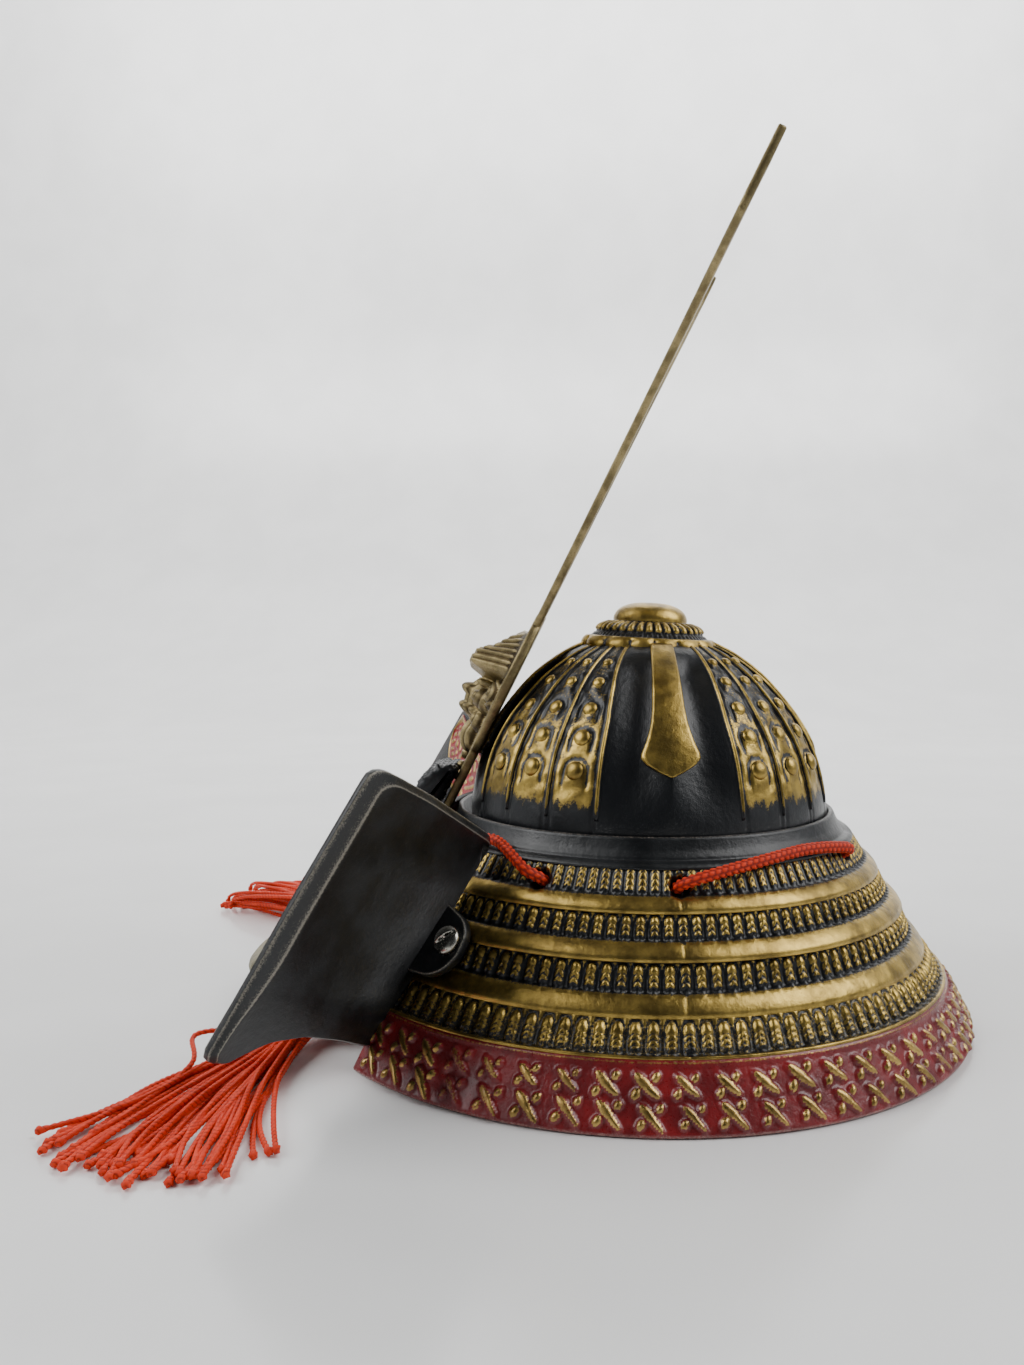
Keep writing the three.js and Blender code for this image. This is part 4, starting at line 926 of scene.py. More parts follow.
def lame(name, band, lacing, teeth, arched, depth, ground=0.05, replaces=()):
    """One lame: a plain band at its foot, then its row of lacing. Both are (radius, height) pairs."""
    band_line = np.linspace(band[0], band[1], BAND_ROWS)
    lace_line = np.linspace(lacing[0], lacing[1], LACE_ROWS)
    outer = np.vstack([band_line, lace_line])
    t = np.concatenate([np.full(BAND_ROWS, -1.0), np.linspace(0, 1, LACE_ROWS)])[None, :]
    share = np.concatenate([np.linspace(0, 1, BAND_ROWS), np.full(LACE_ROWS, -1.0)])[None, :]
    normals = normals_of(outer)
    x = ((guard_columns - OPEN_ANGLE) / (360 - 2 * OPEN_ANGLE) * BRAIDS % 1 - 0.5)[:, None]
    tall, gold = braid(x, t, teeth, arched)
    strength = guard_rng.uniform(0.7, 1.0, BRAIDS + 1)[
        np.minimum(np.arange(len(guard_columns)) // BRAID_STEPS, BRAIDS)
    ][:, None]
    in_lace = t >= 0
    band_swell = BAND_SWELL * np.sin(np.pi * np.clip(share, 0, 1)) ** 0.5
    push = np.where(in_lace, (tall - LACE_SUNK) * depth, band_swell)
    # Painted shadow: the band's gold thins to black along its top edge, under the row of lacing.
    band_gold_and_shadow = 0.9 - 0.5 * bell(share - 1, 0.14)
    gold = np.where(in_lace, np.maximum(gold * strength, ground), band_gold_and_shadow)
    for sign in (1, -1):
        seam = bell((guard_columns - 180) - sign * (SEAM_BEARING - 180), 0.45)[:, None]
        push = push + np.where(in_lace, -0.1, -0.16) * seam
        gold = gold * (1 - 0.35 * seam)
    for bearing, height in HOLES:
        for place in (bearing, 360 - bearing):
            sideways = np.radians(guard_columns - place)[:, None] * outer[None, :, 0]
            upward = (outer[None, :, 1] - height) / math.cos(math.radians(34))
            pit = np.exp(-((np.hypot(sideways, upward) / 2.0) ** 6))
            push = push - 1.8 * pit
            gold = gold * (1 - pit)
    radius, height = pushed(outer, normals, push)
    skin = ring(radius, guard_columns[:, None], height)
    back = np.array([
        (lacing[1][0] - LAME_WALL * 0.9, lacing[1][1] - LAME_WALL * 0.5),
        (band[0][0] - LAME_WALL, band[0][1] - 0.2),
        (band[0][0] - 0.5, band[0][1] - 0.45),
    ])
    inside = ring(back[None, :, 0], guard_columns[:, None], back[None, :, 1])
    heap = Heap()
    heap.add(np.concatenate([skin, inside], axis=1), gilt=padded(gold, len(back)))
    return heap.make(name, antique_gilt, replaces)


lame(
    "first_lame", [(53.5, 34.7), (50.9, 37.4)], [(50.2, 37.8), (47.2, 42.4)], 4, False, 0.6, 0.0,
    ["neck_guard"],
)
lame("second_lame", [(59.1, 26.9), (56.1, 29.9)], [(55.4, 30.2), (52.9, 34.8)], 4, True, 1.0)
lame("third_lame", [(64.3, 17.9), (61.4, 21.5)], [(60.7, 21.8), (58.1, 27.0)], 4, True, 1.05)
lame("fourth_lame", [(69.0, 12.0), (68.4, 12.5)], [(67.8, 12.7), (64.1, 18.0)], 6, True, 1.0, 0.34)

# %% [markdown]
# The red lame. Each cross is one long leaf that falls towards the back and two drops across it. Where they
# stand proud they are gold.

# %% Red lame with its crosses
CROSSES = 49
CROSS_STEPS = 18


def drop(sideways, upward, middle, angle, length, width):
    """A pointed leaf in millimetres: 1 on its ridge, 0 outside."""
    c, s = math.cos(math.radians(angle)), math.sin(math.radians(angle))
    u = (sideways - middle[0]) * c + (upward - middle[1]) * s
    v = -(sideways - middle[0]) * s + (upward - middle[1]) * c
    return np.sqrt(np.clip(1 - (u / length) ** 2 - (v / width) ** 2, 0, 1))


red_columns = np.linspace(OPEN_ANGLE, 360 - OPEN_ANGLE, CROSSES * CROSS_STEPS + 1)
red_outer = np.linspace((75.1, 0.9), (69.0, 11.9), 34)
red_outer = np.vstack([[(74.6, 0.15), (75.0, 0.45)], red_outer, [(68.7, 12.15), (68.4, 12.35)]])
red_normals = normals_of(red_outer)
slope = distances(red_outer)[None, :]
phase = ((red_columns - OPEN_ANGLE) / (360 - 2 * OPEN_ANGLE) * CROSSES)[:, None]
cell = phase % 1 - 0.5
index = np.minimum(np.floor(phase).astype(int), CROSSES - 1)
pitch = np.radians((360 - 2 * OPEN_ANGLE) / CROSSES) * 71
raised = np.zeros((len(red_columns), len(red_outer)))
red_rng = np.random.default_rng(23)
for row_middle, row_offset in ((9.3, 0.0), (4.1, 0.12)):
    jitter = red_rng.uniform(-0.25, 0.25, (CROSSES, 2))
    size = red_rng.uniform(0.85, 1.08, CROSSES)[index]
    sideways = (cell - row_offset) * pitch + jitter[index, 0]
    upward = slope - row_middle + jitter[index, 1]
    sideways, upward = sideways / size, upward / size
    bend = 0.35 if row_offset else 0.0
    shapes = [
        drop(sideways, upward + bend * np.clip(sideways, 0, None), (-0.3, 0.3), -45, 2.9, 1.05),
        drop(sideways, upward + bend * np.clip(sideways, 0, None), (0.8, -0.8), -40, 2.3, 0.85),
        drop(sideways, upward, (1.6, 1.4), 60, 1.15, 0.85),
        drop(sideways, upward, (-1.7, -1.45), 65, 1.25, 0.9),
    ]
    for shape in shapes:
        raised = np.maximum(raised, shape)
top_line = bell(slope - slope[0, -4], 0.45)
red_push = 0.95 * raised**0.8 + 0.22 * top_line
fade = red_rng.uniform(0.45, 1.0, (CROSSES, 1))[index[:, 0]]
red_gilt = between(raised, 0.35, 0.7) * 0.95 * fade + 0.5 * top_line
red_wear = 0.75 * (1 - between(slope, 0.2, 2.6)) * np.ones_like(raised)
radius, height = pushed(red_outer, red_normals, red_push)
skin = ring(radius, red_columns[:, None], np.maximum(height, 0.02))
back = np.array([(65.9, 12.0), (72.4, 0.05)])
inside = ring(back[None, :, 0], red_columns[:, None], back[None, :, 1])
red_heap = Heap()
red_heap.add(
    np.concatenate([skin, inside], axis=1),
    gilt=padded(red_gilt, len(back)),
    wear=padded(red_wear, len(back)),
)
red_heap.make("red_lame", red_enamel)

# %% [markdown]
# The shoulder and the collar are smooth black. They carry the bowl, so a lathed ring with soft edges is
# all they need.

# %% Collar and shoulder
COLLAR_LINE = [
    (46.9, 41.3), (47.6, 42.1), (46.9, 42.9), (45.5, 43.3), (45.2, 43.9), (44.3, 45.1), (43.6, 46.6),
    (43.3, 47.3), (42.8, 47.6), (42.15, 47.4),
]
COLLAR_COLUMNS = 288
COLLAR_ROWS = 44
collar_outer = smooth_line(COLLAR_LINE, COLLAR_ROWS)
collar_inner = np.array([(42.1, 43.4), (39.9, 43.4), (39.9, 41.4), (43.5, 41.0)])
collar_profile = np.vstack([collar_outer, collar_inner])
collar_columns = np.linspace(0, 360, COLLAR_COLUMNS, endpoint=False)
edge_wear = np.concatenate([0.55 * bell(collar_outer[:, 1] - 47.5, 0.25), np.zeros(4)])[None, :]
collar_heap = Heap()
collar_heap.add(
    ring(collar_profile[None, :, 0], collar_columns[:, None], collar_profile[None, :, 1]),
    round_rows=True,
    wear=edge_wear,
)
collar_heap.make("collar", black_lacquer)

# %% [markdown]
# The visor slopes down and forward from the collar and ends in a rolled lip. Its gilt is a darker,
# greyer copy of the antique gilt: a painted shade for gilt that lies in shadow.

# %% Visor
VISOR_ANGLE = 32
VISOR_ROOT = 45.8
VISOR_HEIGHT = 46
VISOR_SLOPE = math.radians(40.3)
VISOR_REACH = 58.9
VISOR_SIDE_REACH = 9
VISOR_FULLNESS = 2.05
VISOR_STEPS = 121
VISOR_SECTION = [
    (0, 0, 1.4), (0.35, 0, 2.6), (0.7, 0, 2.6), (1, -6, 1.6), (1, -4.4, 2.0), (1, -2.6, 2.3),
    (1, -1.4, 2.0), (1, -0.6, 1.35), (1, -0.15, 0.5), (1, 0, -0.4), (1, -0.35, -1.3),
    (1, -1.2, -2.0), (1, -2.2, -2.15), (1, -3.4, -1.9), (1, -4.6, -1.1), (1, -5.4, -0.3),
    (0.35, 0, 0.4), (0, 0, -0.8),
]
visor_loops = []
visor_gilt = []
for bearing in np.linspace(-VISOR_ANGLE, VISOR_ANGLE, VISOR_STEPS):
    side = abs(bearing) / VISOR_ANGLE
    full = max(0.0, 1 - side**VISOR_FULLNESS) ** (1 / VISOR_FULLNESS)
    reach = VISOR_SIDE_REACH + (VISOR_REACH - VISOR_SIDE_REACH) * full
    loop = []
    for share, start, rise in VISOR_SECTION:
        run = share * reach + start
        radius = VISOR_ROOT + run * math.cos(VISOR_SLOPE) + max(rise, 0) * math.sin(VISOR_SLOPE)
        radius = VISOR_ROOT if share == 0 else radius
        height = VISOR_HEIGHT - run * math.sin(VISOR_SLOPE) + rise * math.cos(VISOR_SLOPE)
        loop.append(ring(radius, bearing, height))
    visor_loops.append(loop)
    visor_gilt.append([0.55 if share == 1 and start > -5 else 0.0 for share, start, rise in VISOR_SECTION])
visor_heap = Heap()
visor_heap.add(np.array(visor_loops), gilt=np.array(visor_gilt))
# Painted shade: the visor's gilt colours are the antique gilt darkened and greyed as if in shadow.
shaded_gilt = make_gilt("shaded_gilt", "#8d8460", "#5a5238", "#1b1d1d", 0.42)
visor_heap.make("visor_brim", shaded_gilt, ["visor"])

# %% [markdown]
# The crest leans back from the visor. Two frames give it: one on the crest's own plane for its plate, mask
# and horns, and the world's for the rough black holder that it stands in.

# %% Planes and slabs


class Plane:
    """A drawing plane in space: u across, v up, w out of it."""

    def __init__(self, origin, across, up, out):
        self.origin = np.asarray(origin, dtype=float)
        self.across = np.asarray(across, dtype=float)
        self.up = np.asarray(up, dtype=float)
        self.out = np.asarray(out, dtype=float)

    def at(self, u, v, w):
        u, v, w = np.broadcast_arrays(u, v, w)
        return self.origin + u[..., None] * self.across + v[..., None] * self.up + w[..., None] * self.out


def rounded(outline, radius, steps=4):
    """The outline with each corner cut back by at most radius and rounded."""
    outline = np.asarray(outline, dtype=float)
    points = []
    for i, p in enumerate(outline):
        before, after = outline[i - 1], outline[(i + 1) % len(outline)]
        reach = min(radius, 0.45 * np.linalg.norm(before - p), 0.45 * np.linalg.norm(after - p))
        a = p + (before - p) / np.linalg.norm(before - p) * reach
        b = p + (after - p) / np.linalg.norm(after - p) * reach
        for t in np.linspace(0, 1, steps):
            points.append((1 - t) ** 2 * a + 2 * t * (1 - t) * p + t * t * b)
    return np.array(points)


def inset(outline, amount):
    """The outline moved inwards by amount."""
    run = np.roll(outline, -1, axis=0) - np.roll(outline, 1, axis=0)
    run /= np.maximum(np.linalg.norm(run, axis=1), 1e-9)[:, None]
    area = np.sum(outline[:, 0] * np.roll(outline[:, 1], -1) - np.roll(outline[:, 0], -1) * outline[:, 1])
    inward = np.stack([-run[:, 1], run[:, 0]], axis=1) * np.sign(area)
    return outline + inward * amount


def slab(plane, outline, layers):
    """Loops of an outline at several (depth, inset) layers of a plane."""
    loops = []
    for depth, amount in layers:
        moved = inset(outline, amount)
        loops.append(plane.at(moved[:, 0], moved[:, 1], depth))
    return np.array(loops)


CREST_LEAN = math.radians(26.6)
crest_plane = Plane(
    (0, -43.7, 46),
    (1, 0, 0),
    (0, math.sin(CREST_LEAN), math.cos(CREST_LEAN)),
    (0, -math.cos(CREST_LEAN), math.sin(CREST_LEAN)),
)

# %% [markdown]
# The plate of the crest is a casting 2.2 mm thick with soft edges, and the horns are a little thinner, with
# a raised border and a rib down the middle.

# %% Crest plate and horns
PLATE = 2.2
HORN_PLATE = 1.7
SHIELD = [
    (-2, 4.5), (15.2, 4.5), (16.4, 6.3), (18, 7.7), (23, 10.5), (29, 13.8), (36, 15.6), (43, 15.0),
    (48, 12.6), (51.5, 8.5),
]
HORN_ROWS = [
    (5.5, 44, 4.6), (9.5, 55, 4.0), (13.4, 68, 3.7), (17.6, 84, 3.9), (22.6, 101, 4.8), (29.4, 118, 6.0),
    (37.4, 132, 6.9), (43.6, 141.5, 7.0),
]
shield_outline = np.array([(h, a) for a, h in SHIELD] + [(-h, a) for a, h in reversed(SHIELD)])
crest_heap = Heap()
soft_edge = [(0, 0.5), (0.15, 0.15), (0.45, 0), (PLATE - 0.45, 0), (PLATE - 0.12, 0.18), (PLATE, 0.55)]
crest_heap.add(slab(crest_plane, rounded(shield_outline, 2.0), soft_edge))
HORN_STEPS = 90
horn_rows = smooth_line(HORN_ROWS, HORN_STEPS)
run = np.gradient(horn_rows[:, :2], axis=0)
run /= np.linalg.norm(run, axis=1)[:, None]
low = (PLATE - HORN_PLATE) / 2
high = (PLATE + HORN_PLATE) / 2
HORN_CROSS = [
    (1.0, low + 0.3, 0), (1.0, high - 0.3, 0), (0.93, high + 0.05, 0), (0.8, high + 0.05, 0),
    (0.66, high - 0.35, 0.8), (0.3, high - 0.4, 0.7), (0.12, high - 0.05, 0.1), (-0.12, high - 0.05, 0.1),
    (-0.3, high - 0.4, 0.7), (-0.66, high - 0.35, 0.8), (-0.8, high + 0.05, 0), (-0.93, high + 0.05, 0),
    (-1.0, high - 0.3, 0), (-1.0, low + 0.3, 0), (-0.9, low, 0), (0.9, low, 0),
]
for sign in (1, -1):
    loops = []
    for share, depth, _ in HORN_CROSS:
        u = horn_rows[:, 0] + run[:, 1] * horn_rows[:, 2] * share
        v = horn_rows[:, 1] - run[:, 0] * horn_rows[:, 2] * share
        loops.append(crest_plane.at(sign * u, v, depth))
    shade = np.array([deep for _, _, deep in HORN_CROSS])[None, :]
    crest_heap.add(np.stack(loops, axis=1), deep=shade)
    u, v, half_width = horn_rows[-1]
    outer_end = (u + run[-1, 1] * half_width, v - run[-1, 0] * half_width)
    inner_end = (u - run[-1, 1] * half_width, v + run[-1, 0] * half_width)
    fork = np.array([outer_end, (51.4, 153.8), (44.6, 145), (37.4, 152.6), inner_end])
    back_a = np.array(outer_end) - run[-1] * 1.2
    back_b = np.array(inner_end) - run[-1] * 1.2
    fork = np.vstack([[back_a], fork, [back_b]])
    fork_outline = rounded(fork, 0.7, 3) * np.array([sign, 1])
    fork_layers = [(low, 0.3), (low + 0.25, 0), (high - 0.2, 0), (high + 0.05, 0.3)]
    crest_heap.add(slab(crest_plane, fork_outline, fork_layers))

# %% [markdown]
# The mask on the crest is a plain guardian beast of the kind that such crests carry: heavy combed brows, a
# snout with curled whiskers, a lip and a tuft below. It is a relief: a grid over the plate, raised to the
# highest of a few soft mounds. Each mound is combed with ridges that follow the hair.

# %% Mask of the crest
MASK_FROM, MASK_TO, MASK_HALF = 12.5, 46.2, 13.0
MASK_ROWS, MASK_COLUMNS = 150, 131
BROW_WIDE = [(0, 9.5), (5, 9.8), (7, 6.0), (9, 3.0), (11, 0.8), (12.5, 0)]
BROW_FALL = [(-2.4, 0), (-1.5, 0.5), (-0.7, 0.92), (0, 1), (3, 0.93), (5.5, 0.6), (8.7, 0.36), (13, 0)]
MASK_MOUNDS = [
    (0, 27.2, 4.4, 6.6, 7.2), (0, 28.0, 3.2, 2.6, 9.0), (5.2, 27.6, 4.2, 3.2, 5.6),
    (9.2, 30.2, 3.3, 4.2, 2.6), (0, 23.9, 4.6, 2.3, 7.6), (4.2, 22.6, 3.3, 3.0, 3.6),
    (0, 18.6, 3.4, 5.0, 4.2), (4.0, 30.9, 1.5, 1.3, 6.2),
]


def mound(side, along_mm, out, where, wide, tall, rise):
    """A half ellipsoid on the plate."""
    inside = 1 - ((side - out) / wide) ** 2 - ((along_mm - where) / tall) ** 2
    return rise * np.sqrt(np.clip(inside, 0, 1))


mask_along = np.linspace(MASK_FROM, MASK_TO, MASK_ROWS)[:, None]
shield_half = lookup(SHIELD, mask_along)
mask_half = np.minimum(MASK_HALF, shield_half - 0.6)
mask_u = np.linspace(-1, 1, MASK_COLUMNS)[None, :] * mask_half
side = np.abs(mask_u)
above = mask_along - 33.2 - 0.35 * side
mask_rise = lookup(BROW_WIDE, side) * lookup(BROW_FALL, above)
comb = 0.5 + 0.5 * np.cos(2 * np.pi * (above - 0.75 * side + 0.045 * side**2) / 1.55)
combed = between(above, -0.6, 0.4) * (1 - between(above, 8, 11)) * between(side, 0.3, 1.2)
mask_deep = 0.8 * combed * (1 - comb)
mask_rise = mask_rise + 0.75 * combed * (comb - 0.6) * between(mask_rise, 0.4, 2)
for out, where, wide, tall, rise in MASK_MOUNDS:
    lump = mound(side, mask_along, out, where, wide, tall, rise)
    if wide > 3.2 or tall > 4:
        curl = np.hypot(side - out, (mask_along - where) * 1.2)
        ridge = 0.5 + 0.5 * np.cos(2 * np.pi * (curl if out else side) / 1.25)
        lump = lump + 0.55 * (ridge - 0.7) * between(lump, 0.3, 1.5)
        mask_deep = np.where(lump > mask_rise, 0.8 * (1 - ridge), mask_deep)
    mask_rise = np.maximum(mask_rise, lump)
mask_rise = mask_rise * between(mask_half - side, 0, 0.8)
mask_deep = np.clip(mask_deep + 0.7 * (1 - between(mask_rise, 0.2, 1.6)) * between(mask_rise, 0, 0.2), 0, 1)
front = crest_plane.at(mask_u, mask_along, PLATE - 0.2 + np.maximum(mask_rise, 0.1))
rear = np.stack([crest_plane.at(s * mask_half[:, 0], mask_along[:, 0], PLATE / 2) for s in (1, -1)], axis=1)
crest_heap.add(np.concatenate([front, rear], axis=1), deep=padded(mask_deep, 2))
bead_angles = 2 * np.pi * np.arange(14)[None, :] / 14
for where, size in ((13.6, 1.5), (10.4, 1.2), (7.6, 1.0)):
    rows = np.array([(1.0, -0.3), (1.0, 0.3), (0.85, 0.75), (0.55, 1.05), (0.15, 1.15)])
    u = rows[:, :1] * size * np.cos(bead_angles)
    v = where + rows[:, :1] * size * np.sin(bead_angles)
    crest_heap.add(crest_plane.at(u, v, PLATE + rows[:, 1:] * size + 0 * u))
crest_heap.make("crest_casting", aged_brass, ["crest"])

# %% [markdown]
# The holder of the crest is a rough black block cast with scrolls. Its side outline is swept across the
# helmet and the skin is knotted with sines.

# %% Holder of the crest
HOLDER = [(41.0, 57.2), (46.6, 57.6), (50.4, 54.6), (52.6, 50.6), (55.0, 41.6), (49.0, 43.6), (46.6, 46.4)]
HOLDER_HALF = 7.5
holder_outline = rounded([(-f, h) for f, h in HOLDER], 1.6, 4)
closed = np.vstack([holder_outline, holder_outline[:1]])
holder_outline = evenly(closed, 91)[:-1]
holder_plane = Plane((0, 0, 0), (0, 1, 0), (0, 0, 1), (1, 0, 0))
holder_loops = []
for depth in np.linspace(-1, 1, 40):
    amount = 0.3 + 1.5 * max(0.0, (abs(depth) - 0.85) / 0.15) ** 2
    moved = inset(holder_outline, amount)
    knot = np.sin(moved[:, 0] * 2.3 + depth * 9) * np.sin(moved[:, 1] * 2.0 - depth * 7)
    knot = knot + 0.6 * np.sin(moved[:, 0] * 4.1 - depth * 15) * np.sin(moved[:, 1] * 3.7 + 1)
    moved = moved + (moved - inset(moved, 1)) * 0.4 * knot[:, None]
    holder_loops.append(holder_plane.at(moved[:, 0], moved[:, 1], depth * (HOLDER_HALF - 0.2)))
holder_heap = Heap()
holder_heap.add(np.array(holder_loops))
holder_heap.make("crest_holder", black_lacquer)

# %% [markdown]
# The wings are plates that turn back from the open front, painted black, with their edges rubbed to the
# metal and a pale painted highlight along the ridges of their bevels. The plain back faces the camera on
# the wearer's left. On the front face a curved border holds a red field with gilt scrolls.

# %% Wings
WING_TOP_INNER = np.array([35, -32.3, 46.3])
WING_LOW_INNER = np.array([45.4, -57.3, 4.8])
WING_TOP_OUTER = np.array([76, -50.3, 66])
WING_OUTLINE = [
    (0, 0), (0.3, -0.012), (0.58, -0.022), (0.82, -0.02), (0.93, -0.016), (1, 0.012), (0.994, 0.55),
    (0.97, 1.14), (0.9, 1.145), (0.826, 1.1), (0.7, 1.04), (0.51, 1.0), (0.27, 0.994), (0.027, 1.0),
]
# Layers: depth, inset, and share of the mask "wear": rubbed edges plus a painted highlight on bevel ridges.
WING_LAYERS = [
    (-1.2, 0.4, 0.4), (-1.1, 0.22, 0.8), (-0.8, 0.04, 0.5), (0, 0, 0.3), (0.35, 0.0, 0.75),
    (0.55, 0.06, 0.6), (0.8, 0.3, 0.3), (1.1, 0.6, 0.38), (1.3, 0.84, 0.5), (1.45, 0.97, 0.85),
    (1.5, 1.06, 0.5), (1.5, 1.3, 0.1),
]
WING_OUTER_BEVEL, WING_TOP_BEVEL, WING_LOW_BEVEL = 4, 1.4, 0.6


def wing_plane(swing):
    down = WING_LOW_INNER - WING_TOP_INNER
    across = WING_TOP_OUTER - WING_TOP_INNER
    axis = Vector(down).normalized()
    across = np.array(Matrix.Rotation(math.radians(swing), 3, axis) @ Vector(across))
    width, height = np.linalg.norm(across), np.linalg.norm(down)
    across = across / width
    out = -np.cross(down / height, across)
    out /= np.linalg.norm(out)
    up = np.cross(out, across)
    up /= np.linalg.norm(up)
    if np.dot(up, down) > 0:
        up = -up
    return Plane(WING_TOP_INNER, across, up, out), width, height


def wing_outline(width, height, amount):
    """The outline with its bevels taken off: wide on the outer edge, less on the top, least below."""
    points = np.array([(across * width, -down * height) for across, down in WING_OUTLINE])
    base = evenly(np.vstack([rounded(points, 1.6, 4), points[:1]]), 121)[:-1]
    across, down = base[:, 0] / width, -base[:, 1] / height
    outer = between(across, 0.72, 0.97) * (1 - 0.75 * between(down, 0.7, 1.12)) * WING_OUTER_BEVEL
    top = (1 - between(down, 0.03, 0.12)) * WING_TOP_BEVEL
    low = between(down, 0.93, 0.98) * WING_LOW_BEVEL
    return base + amount * np.stack([-outer, low - top], axis=1)


def wing(name, node, swing, flip):
    plane, width, height = wing_plane(swing)
    side = mirrored if flip else np.asarray
    loops, wear = [], []
    for depth, amount, rubbed_and_highlit in WING_LAYERS:
        outline = wing_outline(width, height, amount)
        loops.append(plane.at(outline[:, 0], outline[:, 1], depth))
        wear.append(np.full(len(outline), rubbed_and_highlit))
    heap = Heap()
    heap.add(side(np.array(loops)), wear=np.array(wear))
    tab_points = rounded(TAB_OUTLINE, 2.2, 5)
    tab_layers = [(TAB_LOW, 0.2), (TAB_LOW + 0.2, 0)]
    tab_layers += [(TAB_HIGH - 0.5, 0), (TAB_HIGH - 0.12, 0.18), (TAB_HIGH, 0.6)]
    tab = side(slab(screw_plane, tab_points, tab_layers))
    heap.add(tab, wear=np.array([0, 0, 0.35, 0.7, 0.1])[:, None])
    return heap.make(name, wing_lacquer, [node])


def plane_on_guard(radius, bearing, height, rise):
    a, lift = math.radians(bearing), math.radians(rise)
    away = np.array([math.sin(a), -math.cos(a), 0])
    out = away * math.cos(lift) + np.array([0, 0, math.sin(lift)])
    across = np.array([math.cos(a), math.sin(a), 0])
    return Plane(ring(radius, bearing, height), across, np.cross(out, across), out)


TAB_OUTLINE = [
    (-11.2, 8.4), (-6.6, 8.2), (1.6, 5.0), (3.6, 2.2), (3.6, -2.4), (1.2, -6.0), (-2.4, -7.8),
    (-10.2, -7.8),
]
TAB_LOW, TAB_HIGH = 0.9, 3.1
screw_plane = plane_on_guard(59.6, 49.3, 25.4, 33.4)
wing("left_wing", "wing_left", 0, False)
wing("right_wing", "wing_right", -6, True)

# %% [markdown]
# The red field on each wing's front: a grid between its top edge and its curved border.

# %% Fields of the wings
FIELD_TOP = [(0.1, 0.06), (0.93, 0.03)]
FIELD_LOW = [(0.13, 0.42), (0.35, 0.39), (0.5, 0.36), (0.65, 0.32), (0.8, 0.27), (0.88, 0.2), (0.92, 0.12)]
FIELD_COLUMNS, FIELD_ROWS = 110, 80


def wing_field(name, swing, flip):
    plane, width, height = wing_plane(swing)
    side = mirrored if flip else np.asarray
    top = smooth_line(FIELD_TOP, FIELD_COLUMNS)
    low = smooth_line(FIELD_LOW, FIELD_COLUMNS)
    t = np.linspace(0, 1, FIELD_ROWS)[None, :, None]
    shares = top[:, None, :] * (1 - t) + low[:, None, :] * t
    u = shares[..., 0] * width
    v = -shares[..., 1] * height
    s = np.linspace(0, 1, FIELD_COLUMNS)[:, None]
    t = t[..., 0]
    rim_distance = np.minimum(
        np.minimum(s * 35, (1 - s) * 35 * (0.3 + t)), np.minimum(t * 16, (1 - t) * 16)
    )
    border = bell(rim_distance - 0.8, 0.75)
    swirl = np.sin(u * 0.9 + 2.2 * np.sin(v * 0.55)) * np.sin(v * 1.1 + 2.0 * np.sin(u * 0.45))
    vine = between(np.abs(swirl), 0.42, 0.7) * between(rim_distance, 1.6, 2.6)
    lift = 0.3 + 0.55 * border + 0.4 * vine
    rise = np.where(rim_distance <= 0.001, 0.0, lift)
    face = plane.at(u, v, -1.2 - rise)
    root = plane.at(u, v, np.full_like(u, -0.6))
    loops = np.concatenate([face, root[:, ::-1]], axis=1)
    gold = np.concatenate([np.maximum(0.9 * border, 0.85 * vine), np.zeros_like(u)], axis=1)
    heap = Heap()
    heap.add(side(loops), gilt=gold)
    heap.make(name, bright_enamel)


bright_enamel = make_enamel("red_field_enamel", "#b0262b", "#8c1a20")
wing_field("left_wing_field", 0, False)
wing_field("right_wing_field", -6, True)

# %% [markdown]
# Round-head slotted screws hold the tabs. The head is a dome of rings; the rings that fall in the slot are
# pushed down.

# %% Screws
SCREW_HEAD = 3.0
SCREW_HEIGHT = 1.9
SLOT_HALF = 0.42
SLOT_DEEP = 0.95
SLOT_TURN = math.radians(-45)


def screw(name, node, flip):
    base = TAB_HIGH + 0.3
    quarter = np.linspace(0, np.pi / 2, 22)[1:-1]
    shares = np.concatenate([[1.0, 1.0], np.cos(quarter), [0.02]])
    rises = np.concatenate([[-0.3, 0.4], 0.4 + 1.5 * np.sin(quarter), [SCREW_HEIGHT]])
    angles = 2 * np.pi * np.arange(96) / 96
    u = SCREW_HEAD * shares[:, None] * np.cos(angles)[None, :]
    v = SCREW_HEAD * shares[:, None] * np.sin(angles)[None, :]
    from_slot = np.abs(u * math.cos(SLOT_TURN) + v * math.sin(SLOT_TURN))
    cut = 1 - between(from_slot, SLOT_HALF - 0.12, SLOT_HALF + 0.06)
    w = rises[:, None] * np.ones_like(u)
    w = np.where(w > SCREW_HEIGHT - SLOT_DEEP, w + (SCREW_HEIGHT - SLOT_DEEP - w) * cut, w)
    loops = screw_plane.at(u, v, base + w)
    heap = Heap()
    heap.add(mirrored(loops) if flip else loops)
    heap.make(name, nickel_plate, [node])


screw("left_screw", "wing_screw_left", False)
screw("right_screw", "wing_screw_right", True)

# %% [markdown]
# The stage: a pale glossy table that sweeps up into the background, one broad light high on either side of
# the helmet, and a wash on the background. It is dark overhead and on the camera's own side, which gives
# the gilding its brown shadows.

# %% Floor


def make_table(name="pale_table"):
    material, tree, shader, place = new_finish(name, sockets={"Roughness": 0.22})
    cloud = noise(tree, place, 60, 2)
    pale = blend(tree, ramp(tree, cloud, 0.3, 0.7), "#eeeeed", "#f4f4f3")
    tree.links.new(pale, shader.inputs["Base Color"])
    return material


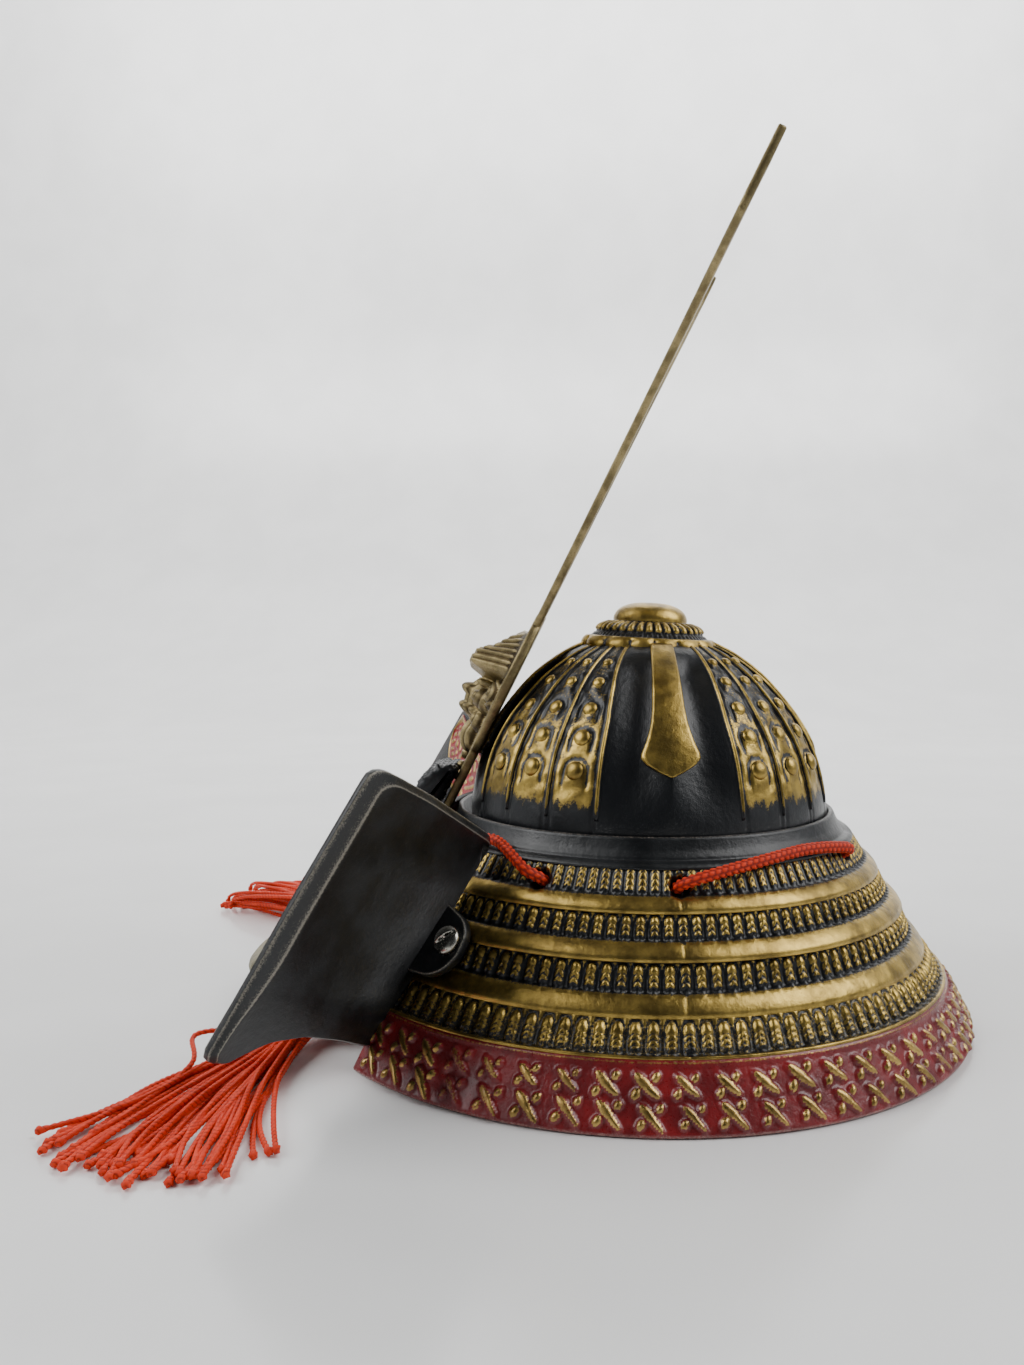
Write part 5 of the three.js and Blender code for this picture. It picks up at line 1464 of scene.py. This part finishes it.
sweep = [(1.5, 0.0), (-0.6, 0.0)]
sweep += [(-0.6 - 0.5 * math.sin(a), 0.5 - 0.5 * math.cos(a)) for a in np.linspace(0, math.pi / 2, 16)[1:]]
sweep += [(-1.1, 2.2)]
table_points = [(x, y, z) for y in (-2.4, 2.4) for x, z in sweep]
count = len(sweep)
table_faces = [(i, i + 1, count + i + 1, count + i) for i in range(count - 1)]
table_mesh = bpy.data.meshes.new("table")
table_mesh.from_pydata(table_points, [], table_faces)
table_mesh.shade_smooth()
table_mesh.materials.append(make_table())
table = new_object("table", table_mesh)
table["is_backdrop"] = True

# %% Lights


def area_light(name, place, aim, size, power, tint="#ffffff"):
    data = bpy.data.lights.new(name, "AREA")
    data.shape = "RECTANGLE"
    data.size, data.size_y = size
    data.energy = power
    data.color = colour(tint)[:3]
    light = new_object(name, data)
    light.location = place
    light.rotation_euler = (Vector(aim) - Vector(place)).to_track_quat("-Z", "Y").to_euler()
    return light


area_light("left_softbox", (0.2, -0.82, 0.78), (0, 0, 0.04), (0.75, 0.85), 9.5)
area_light("right_softbox", (0.15, 0.82, 0.8), (0, 0, 0.04), (0.75, 0.85), 9.5)
area_light("background_wash", (-0.25, 0.0, 1.25), (-1.1, 0, 1.05), (1.8, 0.5), 34)


def make_world():
    """A studio that is bright on both sides and behind, and dark overhead and behind the camera."""
    world = bpy.data.worlds.new("studio")
    world.use_nodes = True
    tree = world.node_tree
    background = tree.nodes["Background"]
    way = add_node(tree, "ShaderNodeTexCoord").outputs["Generated"]
    parts = add_node(tree, "ShaderNodeSeparateXYZ", links={0: way}).outputs
    sides = ramp(tree, combine(tree, "ABSOLUTE", parts["Y"], 0.0), 0.3, 0.85, 0.1, 0.55)
    behind = ramp(tree, combine(tree, "MULTIPLY", parts["X"], -1.0), 0.0, 0.8, 0.0, 0.75)
    overhead = ramp(tree, parts["Z"], 0.5, 0.92, 1.0, 0.25)
    level = combine(tree, "MULTIPLY", combine(tree, "ADD", sides, behind), overhead)
    background.inputs[0].default_value = colour("#cdd2d8")
    tree.links.new(level, background.inputs[1])
    return world


bpy.context.scene.world = make_world()

size = {"cad": [list(map(float, p)) for p in cad_box], "visual": [list(map(float, p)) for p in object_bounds()]}
print("size:", size)
